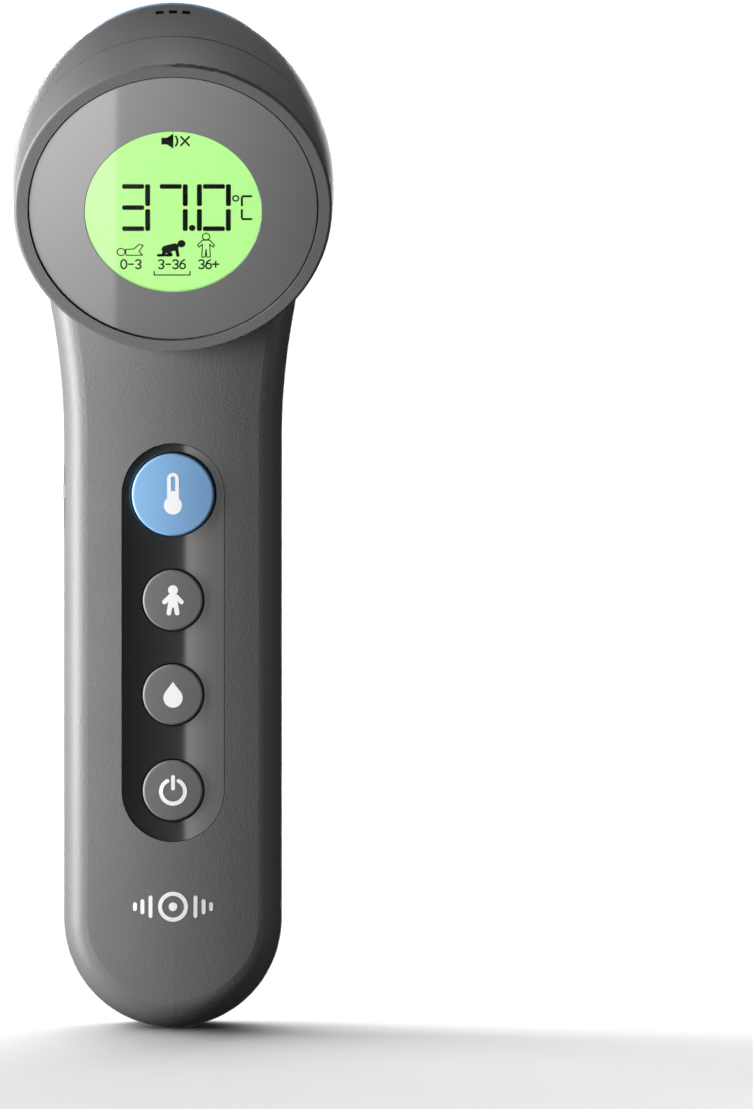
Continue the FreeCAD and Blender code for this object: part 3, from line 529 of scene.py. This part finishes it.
def makeBarTree():
    # round-cornered bars, one on each point, turned by the point's own turn and stretched by its size
    tree, inputs, outputs = newTree("barsOnPoints", [
        ("Length", "NodeSocketFloat", 4.0 * mm), ("Width", "NodeSocketFloat", 0.7 * mm),
        ("Corner", "NodeSocketFloat", 0.2 * mm), ("Corner Steps", "NodeSocketInt", 4),
        ("Height", "NodeSocketFloat", 0.05 * mm), ("Material", "NodeSocketMaterial", None)])
    make = tree.nodes.new
    join = tree.links.new
    outline = make("GeometryNodeCurvePrimitiveQuadrilateral")
    join(inputs.outputs["Length"], outline.inputs["Width"])
    join(inputs.outputs["Width"], outline.inputs["Height"])
    fillet = make("GeometryNodeFilletCurve")
    fillet.mode = "POLY"
    join(outline.outputs["Curve"], fillet.inputs["Curve"])
    join(inputs.outputs["Corner"], fillet.inputs["Radius"])
    join(inputs.outputs["Corner Steps"], fillet.inputs["Count"])
    fill = make("GeometryNodeFillCurve")
    fill.mode = "NGONS"
    join(fillet.outputs["Curve"], fill.inputs["Curve"])
    lifted = make("GeometryNodeExtrudeMesh")
    lifted.inputs["Individual"].default_value = False
    join(fill.outputs["Mesh"], lifted.inputs["Mesh"])
    join(inputs.outputs["Height"], lifted.inputs["Offset Scale"])
    flip = make("GeometryNodeFlipFaces")
    join(fill.outputs["Mesh"], flip.inputs["Mesh"])
    both = make("GeometryNodeJoinGeometry")
    join(flip.outputs["Mesh"], both.inputs["Geometry"])
    join(lifted.outputs["Mesh"], both.inputs["Geometry"])
    weld = make("GeometryNodeMergeByDistance")
    weld.inputs["Distance"].default_value = weldGap
    join(both.outputs["Geometry"], weld.inputs["Geometry"])
    spin = make("ShaderNodeCombineXYZ")
    join(pointNumber(tree, "turn"), spin.inputs["Z"])
    stretch = make("ShaderNodeCombineXYZ")
    setInputs(stretch, {"Y": 1.0, "Z": 1.0})
    join(pointNumber(tree, "size"), stretch.inputs["X"])
    copies = make("GeometryNodeInstanceOnPoints")
    join(inputs.outputs["Geometry"], copies.inputs["Points"])
    join(weld.outputs["Geometry"], copies.inputs["Instance"])
    join(spin.outputs["Vector"], copies.inputs["Rotation"])
    join(stretch.outputs["Vector"], copies.inputs["Scale"])
    finishTree(tree, copies.outputs["Instances"], inputs, outputs)
    return tree


def makeRingTree():
    # round wires, one on each point, as wide as the point's own size
    tree, inputs, outputs = newTree("ringsOnPoints", [
        ("Wire", "NodeSocketFloat", 0.2 * mm), ("Ring Steps", "NodeSocketInt", 96),
        ("Wire Steps", "NodeSocketInt", 8), ("Material", "NodeSocketMaterial", None)])
    make = tree.nodes.new
    join = tree.links.new
    circle = make("GeometryNodeCurvePrimitiveCircle")
    circle.inputs["Radius"].default_value = 1.0
    join(inputs.outputs["Ring Steps"], circle.inputs["Resolution"])
    copies = make("GeometryNodeInstanceOnPoints")
    join(inputs.outputs["Geometry"], copies.inputs["Points"])
    join(circle.outputs["Curve"], copies.inputs["Instance"])
    join(pointNumber(tree, "size"), copies.inputs["Scale"])
    real = make("GeometryNodeRealizeInstances")
    join(copies.outputs["Instances"], real.inputs["Geometry"])
    section = make("GeometryNodeCurvePrimitiveCircle")
    join(inputs.outputs["Wire Steps"], section.inputs["Resolution"])
    join(inputs.outputs["Wire"], section.inputs["Radius"])
    sweep = make("GeometryNodeCurveToMesh")
    join(real.outputs["Geometry"], sweep.inputs["Curve"])
    join(section.outputs["Curve"], sweep.inputs["Profile Curve"])
    smooth = make("GeometryNodeSetShadeSmooth")
    join(sweep.outputs["Mesh"], smooth.inputs["Geometry"])
    finishTree(tree, smooth.outputs["Geometry"], inputs, outputs)
    return tree


barTree = makeBarTree()
ringTree = makeRingTree()
print("geometry node trees built")


display = {
    "lensRadius": 22.94 * mm, "lensRise": 0.2 * mm, "lensEdge": -0.05 * mm, "edgeRound": 0.12 * mm,
    "windowRadius": 14.03 * mm, "windowUp": -0.5 * mm, "windowPlay": 0.01 * mm, "facePlay": 0.02 * mm,
    "windowThickness": 0.35 * mm, "glassGap": 0.12 * mm, "lensThickness": 2.05 * mm,
    "panelTouch": 0.2 * mm, "sharpFrom": math.radians(35), "roundFrom": math.radians(50)}


def lensOut(x, up):
    # height of the lens's shallow dome at a place on the display
    radius = display["lensRadius"]
    rise = display["lensRise"]
    ball = (radius ** 2 + rise ** 2) / (2 * rise)
    return display["lensEdge"] + rise - ball + math.sqrt(ball ** 2 - x ** 2 - up ** 2)


def domedDisc(name, radius, rimUp, lift, thickness, material, rings=12, steps=144, hole=0.0):
    # a disc whose face follows the lens's dome, lowered by lift; a hole is round about the window's
    # middle, and the rim about a place that is rimUp from the lens's
    vertices = []
    faces = []
    for ring in range(rings + 1):
        share = ring / rings
        for turn in range(steps):
            angle = 2 * math.pi * turn / steps
            innerX, innerUp = onCircle(0.0, display["windowUp"], hole, angle)
            edgeX, edgeUp = onCircle(0.0, rimUp, radius, angle)
            x = innerX + (edgeX - innerX) * share
            up = innerUp + (edgeUp - innerUp) * share
            vertices.append(onDisplay(x, up, lensOut(x, up) - lift))
    front = len(vertices)
    vertices += [vertex + lensPlace.to_3x3() @ Vector((0, 0, -thickness)) for vertex in vertices]
    for ring in range(rings):
        for turn in range(steps):
            a = ring * steps + turn
            b = ring * steps + (turn + 1) % steps
            faces.append((a, b, b + steps, a + steps))
            faces.append((front + a, front + a + steps, front + b + steps, front + b))
    for base in (0, rings * steps) if hole else (rings * steps,):
        for turn in range(steps):
            a = base + turn
            b = base + (turn + 1) % steps
            faces.append((a, front + a, front + b, b))
    piece = addMesh(name, vertices, faces, material, True)
    piece.data.set_sharp_from_angle(angle=display["sharpFrom"])
    return piece


def panelDepth():
    # how far the panel's front lies behind the display's middle
    panel = nodes["lcd_panel"]
    turn = lensPlace.inverted() @ panel.matrix_world
    return -max((turn @ vertex.co).z for vertex in panel.data.vertices) + display["panelTouch"]


def bevel(piece, width, segments=3):
    modifier = piece.modifiers.new("bevel", "BEVEL")
    modifier.width = width
    modifier.segments = segments
    modifier.limit_method = "ANGLE"
    modifier.angle_limit = display["roundFrom"]
    modifier.harden_normals = True


def makeDisplay():
    radius, middleUp, thickness = display["windowRadius"], display["windowUp"], display["windowThickness"]
    border = domedDisc("lensBorder", display["lensRadius"], 0.0, 0.0, display["lensThickness"], lensGrey,
                       hole=radius)
    window = domedDisc("lensWindow", radius - display["windowPlay"], middleUp, 0.0, thickness, clearWindow)
    bevel(border, display["edgeRound"])
    for piece in (border, window):
        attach(piece, "root")
        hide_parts("display_lens")
    depth = thickness + display["glassGap"]
    face = domedDisc("lcdFace", radius - display["facePlay"], middleUp, depth, panelDepth() - depth,
                     displayGlowWithPaintedSheen, rings=4)
    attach(face, "root")
    return depth


lcdDepth = makeDisplay()


def onLcd(x, up):
    up += display["windowUp"]
    return onDisplay(x, up, lensOut(x, up) - lcdDepth)


digits = {
    "segmentLength": 3.5 * mm, "segmentWidth": 0.8 * mm, "corner": 0.26 * mm, "ink": 0.03 * mm,
    "height": 8.2 * mm, "width": 5.4 * mm, "baseUp": -3.44 * mm, "uprightStretch": 1.09,
    "uprightShift": 0.33 * mm, "middles": {"3": -6.33 * mm, "7": -0.36 * mm, "0": 6.49 * mm}}
unit = {
    "segmentLength": 1.65 * mm, "segmentWidth": 0.34 * mm, "corner": 0.1 * mm, "ink": 0.05 * mm,
    "height": 4.34 * mm, "width": 1.99 * mm, "baseUp": -1.52 * mm, "uprightStretch": 1.0,
    "uprightShift": 0.1 * mm, "middles": {"C": 11.76 * mm}}
segmentOf = {  # a top, b upper right, c lower right, d bottom, e lower left, f upper left, g middle
    "3": "abcdg", "7": "abc", "0": "abcdef", "C": "adef"}


def makeFigures(name, look):
    # each segment is a point at its middle; uprights are turned, stretched and set apart
    stroke = look["segmentWidth"]
    half = (look["width"] - stroke) / 2
    height = look["height"] - stroke
    base = look["baseUp"] + stroke / 2
    low = height / 4 - look["uprightShift"]
    high = height * 3 / 4 + look["uprightShift"]
    places = {
        "a": (0, height, 0), "b": (half, high, 1), "c": (half, low, 1), "d": (0, 0, 0),
        "e": (-half, low, 1), "f": (-half, high, 1), "g": (0, height / 2, 0)}
    points, turns, sizes = [], [], []
    for figure, middle in look["middles"].items():
        for across, up, upright in [places[key] for key in segmentOf[figure]]:
            points.append((middle + across, base + up, 0))
            turns.append(upright * math.pi / 2)
            sizes.append(look["uprightStretch"] if upright else 1.0)
    place = Matrix.Translation(onLcd(0, 0) - lensPlace.translation) @ lensPlace
    figures = bakeTree(name, pointMesh(name + "Points", points, turn=turns, size=sizes), barTree, {
        "Length": look["segmentLength"], "Width": stroke, "Corner": look["corner"],
        "Height": look["ink"], "Material": liquidInk}, place, "root")


def childShapes():
    # a standing figure: head, trunk, arms and legs
    head, trunk = (0, 1.62 * mm, 0.80 * mm), (0, 0.42 * mm, 0, -0.45 * mm, 1.45 * mm)
    arm, leg = (0.42, 0.66, 1.36, -0.28, 0.74), (0.40, -0.4, 0.66, -2.05, 0.76)  # both ends and width
    shapes = [dot(*head), bar(*trunk)]
    for side in (-1, 1):
        for x0, up0, x1, up1, width in (arm, leg):
            shapes.append(bar(side * x0 * mm, up0 * mm, side * x1 * mm, up1 * mm, width * mm))
    return shapes


def crawlingShapes(x, up, size):
    # a filled figure on hands and knees, in shares of its size: both ends and width of each stroke
    headX, headUp, headRadius = 0.40, 0.20, 0.155
    strokes = [(0.14, 0.06, -0.22, -0.04, 0.31), (0.20, 0.05, 0.26, -0.30, 0.13),
               (-0.18, -0.06, -0.02, -0.27, 0.16), (-0.02, -0.29, -0.20, -0.30, 0.11),
               (-0.24, -0.08, -0.30, -0.28, 0.15), (-0.30, -0.29, -0.50, -0.30, 0.11)]
    return [dot(x + headX * size, up + headUp * size, headRadius * size)] + [
        bar(x + x0 * size, up + up0 * size, x + x1 * size, up + up1 * size, width * size)
        for x0, up0, x1, up1, width in strokes]


def lyingShapes(x, up, size, width):
    headX, headRadius = -0.34, 0.12
    body = [(-0.18, 0.10), (0.12, 0.12), (0.30, 0.30), (0.44, 0.26), (0.30, 0.02), (0.42, -0.12),
            (-0.16, -0.13), (-0.18, 0.10)]
    return band(x + headX * size, up, headRadius * size, headRadius * size + width) + line(
        [(x + a * size, up + b * size) for a, b in body], width)


def standingOutline(x, up, size, width):
    headUp, headRadius = 0.36, 0.11
    half = [(0.0, 0.22), (0.13, 0.22), (0.30, 0.02), (0.25, -0.05), (0.13, 0.06), (0.15, -0.44),
            (0.03, -0.44), (0.0, -0.14)]
    shapes = band(x, up + headUp * size, headRadius * size, headRadius * size + width)
    for side in (-1, 1):
        shapes += line([(x + side * a * size, up + b * size) for a, b in half], width)
    return shapes


def mutedSpeaker(x, up):
    look = {"back": -1.9 * mm, "neck": -1.0 * mm, "narrow": 0.58 * mm, "wide": 1.3 * mm,
            "waveX": -0.7 * mm, "waveInner": 1.2 * mm, "waveOuter": 1.5 * mm, "waveAngle": 42,
            "crossStart": 1.2 * mm, "crossEnd": 2.5 * mm, "crossUp": 0.75 * mm, "crossWidth": 0.30 * mm}
    back, neck, narrow, wide = x + look["back"], x + look["neck"], look["narrow"], look["wide"]
    shapes = [[(back, up - narrow), (neck, up - narrow), (x, up - wide), (x, up + wide),
               (neck, up + narrow), (back, up + narrow)]]
    shapes += band(x + look["waveX"], up, look["waveInner"], look["waveOuter"],
                   -look["waveAngle"], look["waveAngle"], 10)
    for sign in (-1, 1):
        rise = sign * look["crossUp"]
        shapes.append(bar(x + look["crossStart"], up - rise, x + look["crossEnd"], up + rise,
                          look["crossWidth"]))
    return shapes


symbols = {  # x and height of each from the window's middle, then its size
    "point": (3.04 * mm, -2.91 * mm, 0.53 * mm), "degree": (9.95 * mm, 2.26 * mm, 0.34 * mm, 0.58 * mm),
    "speaker": (0.05 * mm, 12.25 * mm), "crawling": (-0.3 * mm, -6.5 * mm, 4.1 * mm),
    "lying": (-6.75 * mm, -7.15 * mm, 4.5 * mm, 0.17 * mm),
    "standing": (5.25 * mm, -6.05 * mm, 4.5 * mm, 0.17 * mm),
    "ages": {"0-3": -6.7 * mm, "3-36": -0.2 * mm, "36+": 5.65 * mm}, "ageUp": -9.3 * mm,
    "ageHeight": 1.55 * mm, "agePitch": 1.14 * mm, "ageLine": 0.25 * mm,
    "bracketLeft": -3.0 * mm, "bracketRight": 2.7 * mm, "bracketTop": -10.6 * mm,
    "bracketBottom": -11.2 * mm, "bracketLine": 0.2 * mm}


def ageFigures(text, x):
    # tiny stroke figures for the age ranges
    up, height, width = symbols["ageUp"], symbols["ageHeight"], symbols["ageLine"]
    shapes = []
    start = x - symbols["agePitch"] * (len(text) - 1) / 2
    for turn, sign in enumerate(text):
        middle = start + symbols["agePitch"] * turn
        half = 0.32 * height
        if sign == "-":
            half -= 0.1 * height
            shapes.append(bar(middle - half, up, middle + half, up, width))
        elif sign == "+":
            shapes.append(bar(middle - half, up, middle + half, up, width))
            shapes.append(bar(middle, up - half, middle, up + half, width))
        elif sign == "0":
            shapes += ovalLine(middle, up, 0.30 * height, 0.5 * height, 0, 360, 16, width)
        elif sign == "3":
            for side in (1, -1):
                shapes += ovalLine(middle, up + side * height / 4, 0.28 * height, height / 4,
                                   150 * side, -90 * side, 8, width)
        elif sign == "6":
            shapes += ovalLine(middle, up - 0.20 * height, 0.28 * height, 0.30 * height, 0, 360, 16, width)
            shapes += line([(middle + a * height, up + b * height)
                            for a, b in ((-0.29, -0.1), (-0.12, 0.3), (0.2, 0.5))], width)
    return shapes


def makeSymbols():
    shapes = [dot(*symbols["point"])]
    shapes += band(*symbols["degree"])
    shapes += mutedSpeaker(*symbols["speaker"])
    shapes += crawlingShapes(*symbols["crawling"])
    shapes += lyingShapes(*symbols["lying"])
    shapes += standingOutline(*symbols["standing"])
    for text, x in symbols["ages"].items():
        shapes += ageFigures(text, x)
    left, right = symbols["bracketLeft"], symbols["bracketRight"]
    top, bottom = symbols["bracketTop"], symbols["bracketBottom"]
    shapes += line([(left, top), (left, bottom), (right, bottom), (right, top)], symbols["bracketLine"])
    printed("lcdSymbols", shapes, onLcd, lensOutward, liquidInk, "root")


makeFigures("lcdFigures", digits)
makeSymbols()
makeFigures("lcdUnit", unit)
print("display made")


def onKey(node):
    # the front surface of a button, in x and height from its middle
    low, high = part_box(node)
    middle = (low + high) / 2
    skin = skinOf(node)
    return lambda x, up: onSkin(skin, middle.x + x, middle.z + up, low.y - 10 * mm, 1)


def thermometerShapes():
    # a bulb, a filled stem and a hollow tube with a round top
    look = {"bulb": 1.45 * mm, "bulbUp": -1.7 * mm, "outer": 0.94 * mm, "inner": 0.36 * mm,
            "fillUp": 0.6 * mm, "topUp": 2.58 * mm}
    outer, inner, bulbUp, fill, top = [look[key] for key in ("outer", "inner", "bulbUp", "fillUp", "topUp")]
    shapes = [dot(0, bulbUp, look["bulb"]),
              [(-outer, bulbUp), (outer, bulbUp), (outer, fill), (-outer, fill)]]
    for side in (-1, 1):
        shapes.append([(side * inner, fill), (side * outer, fill), (side * outer, top), (side * inner, top)])
    return shapes + band(0, top, inner, outer, 0, 180, 20)


def dropShapes():
    # a ball whose sides run straight up to a point
    look = {"radius": 1.55 * mm, "middleUp": -0.5 * mm, "tipUp": 2.1 * mm, "steps": 32}
    lean = math.asin(look["radius"] / (look["tipUp"] - look["middleUp"]))
    points = [onCircle(0, look["middleUp"], look["radius"],
                       math.pi - lean + (math.pi + 2 * lean) * k / look["steps"])
              for k in range(look["steps"] + 1)]
    return [points + [(0, look["tipUp"])]]


def powerShapes():
    # a ring that is open at the top, with round ends, and a bar in the opening
    look = {"middleUp": -0.15 * mm, "inner": 1.60 * mm, "outer": 2.25 * mm, "start": 118, "end": 422,
            "barLow": 0.35 * mm, "barHigh": 2.2 * mm, "barWidth": 0.62 * mm}
    inner, outer = look["inner"], look["outer"]
    shapes = band(0, look["middleUp"], inner, outer, look["start"], look["end"], 48)
    for angle in (look["start"], look["end"]):
        x, up = onCircle(0, look["middleUp"], (inner + outer) / 2, math.radians(angle))
        shapes.append(dot(x, up, (outer - inner) / 2, 16))
    shapes.append(bar(0, look["barLow"], 0, look["barHigh"], look["barWidth"]))
    return shapes


for sign, shapes, button, key in (
        ("thermometerSign", thermometerShapes(), "measure_button", "measure_key"),
        ("childSign", childShapes(), "age_button", "age_key"),
        ("dropSign", dropShapes(), "liquid_button", "liquid_key"),
        ("powerSign", powerShapes(), "power_button", "power_key")):
    printed(sign, shapes, onKey(button), towardsUser, printWhite, key)


def makeEmblem():
    # a plain generic mark: a ring with a dot between short bars that shrink outwards
    look = {"up": 19.6 * mm, "inner": 1.75 * mm, "outer": 2.4 * mm, "dot": 0.7 * mm, "barWidth": 0.62 * mm,
            "bars": {3.6 * mm: 1.5 * mm, 4.9 * mm: 0.9 * mm, 6.1 * mm: 0.4 * mm}}  # x and half length

    def onFront(x, up):
        return onSkin(frontSkin, x, look["up"] + up, -outside, 1)

    shapes = band(0, 0, look["inner"], look["outer"], steps=48)
    shapes.append(dot(0, 0, look["dot"]))
    for side in (-1, 1):
        for x, half in look["bars"].items():
            shapes.append(bar(side * x, -half, side * x, half, look["barWidth"]))
    printed("plainEmblem", shapes, onFront, towardsUser, printWhite, "root")


makeEmblem()
print("printed signs made")


def makeDoorArrow():
    look = {"below": 16 * mm, "halfWidth": 1.6 * mm, "top": 1.0 * mm, "tip": -1.2 * mm, "height": 0.15 * mm}
    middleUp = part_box("battery_door")[1].z - look["below"]

    def onDoor(x, up):
        return onSkin(doorSkin, x, middleUp + up, outside, -1)

    shapes = [[(-look["halfWidth"], look["top"]), (look["halfWidth"], look["top"]), (0, look["tip"])]]
    printed("openingArrow", shapes, onDoor, -towardsUser, housing, "door", height=look["height"])


def makeBaffles():
    # fine ridges down the sensor's funnel, at these depths and radii from its mouth to its throat
    look = {"count": 7, "wire": 0.16 * mm, "start": 36.5 * mm, "end": 30.5 * mm, "mouth": 10.6 * mm,
            "throat": 4.0 * mm}
    shares = [turn / (look["count"] - 1) for turn in range(look["count"])]
    points = [(0, 0, -look["start"] - (look["end"] - look["start"]) * share) for share in shares]
    sizes = [look["mouth"] + (look["throat"] - look["mouth"]) * share for share in shares]
    baffles = bakeTree("funnelRidges", pointMesh("bafflePoints", points, size=sizes), ringTree,
                       {"Wire": look["wire"], "Material": mouldBlack}, lensPlace, "root")


makeDoorArrow()
makeBaffles()
print("door and recess details made")


def makeStage():
    # paper painted darker towards the front and paler behind the thermometer, a painted shade of the floor
    look = {"near": -0.15, "far": 0.20, "dark": 0.84, "light": 1.0, "rough": 0.9, "half": 30}
    paper, tree, shader = newMaterial("studioPaperPaintedShade")
    # painted shade: the base colour runs from dark in front to light behind
    paintedFloorShade = alongAxis(tree, "Y", {"From Min": look["near"], "From Max": look["far"],
                                  "To Min": look["dark"], "To Max": look["light"]})
    tree.links.new(paintedFloorShade, shader.inputs["Base Color"])
    setInputs(shader, {"Roughness": look["rough"], "Specular IOR Level": 0.0})
    half = look["half"]
    floor = addMesh("studioFloor", [(-half, -half, 0), (half, -half, 0), (half, half, 0), (-half, half, 0)],
                    [(0, 1, 2, 3)], paper)
    for kind in ("visible_diffuse", "visible_glossy", "visible_transmission"):
        setattr(floor, kind, False)
    return floor


def placeLight(name, lamp, place, target):
    light = newPiece(name, lamp)
    light.location = place
    light.rotation_mode = "QUATERNION"
    light.rotation_quaternion = (Vector(target) - Vector(place)).to_track_quat("-Z", "Y")
    light.visible_camera = False
    return light


def softbox(name, place, target, width, height, power):
    lamp = bpy.data.lights.new(name, "AREA")
    lamp.shape = "RECTANGLE"
    lamp.size = width
    lamp.size_y = height
    lamp.energy = power
    return placeLight(name, lamp, place, target)


def lightOnly(light, things):
    group = bpy.data.collections.new(light.name + "Receivers")
    for thing in things:
        group.objects.link(thing)
    light.light_linking.receiver_collection = group
    return group


def sunlight(name, direction, spread, power, things):
    lamp = bpy.data.lights.new(name, "SUN")
    lamp.energy = power
    lamp.angle = math.radians(spread)
    lightOnly(placeLight(name, lamp, Vector(direction), (0, 0, 0)), things)


def fadeAlong(tree, share, start, end, steepness):
    curved = mathIn(tree, "POWER", share, steepness)
    return mathIn(tree, "ADD", mathIn(tree, "MULTIPLY", curved, end - start), start)


def glossCard(name, place, direction, things):
    # a card that shows only as a reflection, and only in the things named
    look = cards[name]
    width, height = look["width"], look["height"]
    card = softbox(name, place, place + direction, width, height, math.pi * width * height)
    card.visible_diffuse = False
    card.light_linking.blocker_collection = lightOnly(card, things)
    card.data.use_nodes = True
    tree = card.data.node_tree
    surface = tree.nodes.new("ShaderNodeNewGeometry")
    split = tree.nodes.new("ShaderNodeSeparateXYZ")
    tree.links.new(surface.outputs["Parametric"], split.inputs["Vector"])
    across = fadeAlong(tree, split.outputs["X"], look["left"], look["right"], look["steepness"])
    upwards = fadeAlong(tree, split.outputs["Y"], look["bottom"], look["top"], 1.0)
    both = mathIn(tree, "MULTIPLY", across, upwards)
    strength = mathIn(tree, "MULTIPLY", both, look["brightness"])
    tree.links.new(strength, tree.nodes["Emission"].inputs["Strength"])


def makeAir():
    # white where the camera sees it, and dim for everything that it lights
    look = {"To Min": 0.03, "To Max": 1.0}
    world = bpy.data.worlds.new("studioAir")
    world.use_nodes = True
    tree = world.node_tree
    path = tree.nodes.new("ShaderNodeLightPath")
    strength = tree.nodes.new("ShaderNodeMapRange")
    setInputs(strength, look)
    tree.links.new(path.outputs["Is Camera Ray"], strength.inputs["Value"])
    tree.links.new(strength.outputs["Result"], tree.nodes["Background"].inputs["Strength"])
    setInputs(tree.nodes["Background"], {"Color": (1, 1, 1, 1)})
    bpy.context.scene.world = world


suns = {  # the way towards each, its spread in degrees, its power
    "floorEven": ((0.0, 0.15, 1.0), 60, 0.1),
    "floorBack": ((0.0, 1.0, 0.5), 40, 3.9),
    "floorSide": ((-0.75, 0.75, 0.5), 50, 3.8)}
softboxes = {  # where each is, what it is aimed at, its width, height and power
    "keySoftbox": ((-0.21, -0.075, 0.05), (0, 0, 0.065), 0.10, 0.26, 2.3),
    "rearSoftbox": ((0.0, 0.60, 0.05), (0, 0, 0.085), 0.35, 0.35, 5.0),
    "topSoftbox": ((0.02, 0.05, 0.60), (0, 0, 0.085), 0.30, 0.30, 1.15),
    "rightSoftbox": ((0.42, -0.25, 0.04), (0, 0, 0.05), 0.25, 0.35, 0.4)}
cards = {  # left, right, bottom and top are shares of the brightness at those edges
    "padCard": {
        "rightEdge": -0.084, "ahead": 0.60, "up": 0.075, "width": 0.42, "height": 1.6, "brightness": 3.7,
        "left": 0.3, "right": 1.0, "bottom": 1.0, "top": 1.0, "steepness": 3.0},
    "lensCard": {
        "rightEdge": -0.0106, "away": 0.09, "width": 0.16, "height": 0.07, "brightness": 3.9,
        "left": 0.85, "right": 1.0, "bottom": 0.42, "top": 1.0, "steepness": 1.0},
    "lensGlow": {
        "away": 0.10, "width": 0.062, "height": 0.062, "brightness": 5.8,
        "left": 1.0, "right": 0.1, "bottom": 0.2, "top": 1.0, "steepness": 1.0}}


def makeLights(floor):
    for name, values in suns.items():
        sunlight(name, *values, [floor])
    things = [thing for thing in bpy.data.objects if thing.type == "MESH" and thing is not floor]
    for name, values in softboxes.items():
        lightOnly(softbox(name, *values), things)


def makeCards():
    pad, edgeCard, glow = cards["padCard"], cards["lensCard"], cards["lensGlow"]
    padPlace = Vector((pad["rightEdge"] - pad["width"] / 2, -pad["ahead"], pad["up"]))
    glossCard("padCard", padPlace, -towardsUser, [nodes["keypad_panel"], nodes["measure_button"]])
    # the way that a look from the front leaves the lens, so that a card there shows in it
    leaving = (-towardsUser).reflect(lensOutward)
    middle = lensPlace.translation
    edgePlace = middle + leaving * edgeCard["away"]
    edgePlace.x += edgeCard["rightEdge"] - edgeCard["width"] / 2
    border, window = bpy.data.objects["lensBorder"], bpy.data.objects["lensWindow"]
    glossCard("lensCard", edgePlace, -leaving, [border, window])
    glossCard("lensGlow", middle + leaving * glow["away"], -leaving, [border])


def makeCamera():
    # level with the display and tipped down a little, so that the handle's middle is in the middle
    look = {"lens": 400.0, "sensor": 36.0, "frameHeight": 177.4 * mm, "aimUp": 76.03 * mm,
            "left": 32.55 * mm, "clipEnd": 100}
    camera = newPiece("camera", bpy.data.cameras.new("camera"))
    camera.data.lens = look["lens"]
    camera.data.sensor_width = look["sensor"]
    camera.data.shift_x = look["left"] / look["frameHeight"]
    camera.data.clip_end = look["clipEnd"]
    height = lensPlace.translation.z
    distance = look["frameHeight"] * look["lens"] / look["sensor"]
    camera.location = (0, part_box("age_button")[0].y - distance, height)
    camera.rotation_euler = (math.radians(90) - math.atan2(height - look["aimUp"], distance), 0, 0)
    bpy.context.scene.camera = camera


makeLights(makeStage())
makeCards()
makeAir()
makeCamera()
bpy.context.scene.view_settings.view_transform = "Standard"
print("studio made")
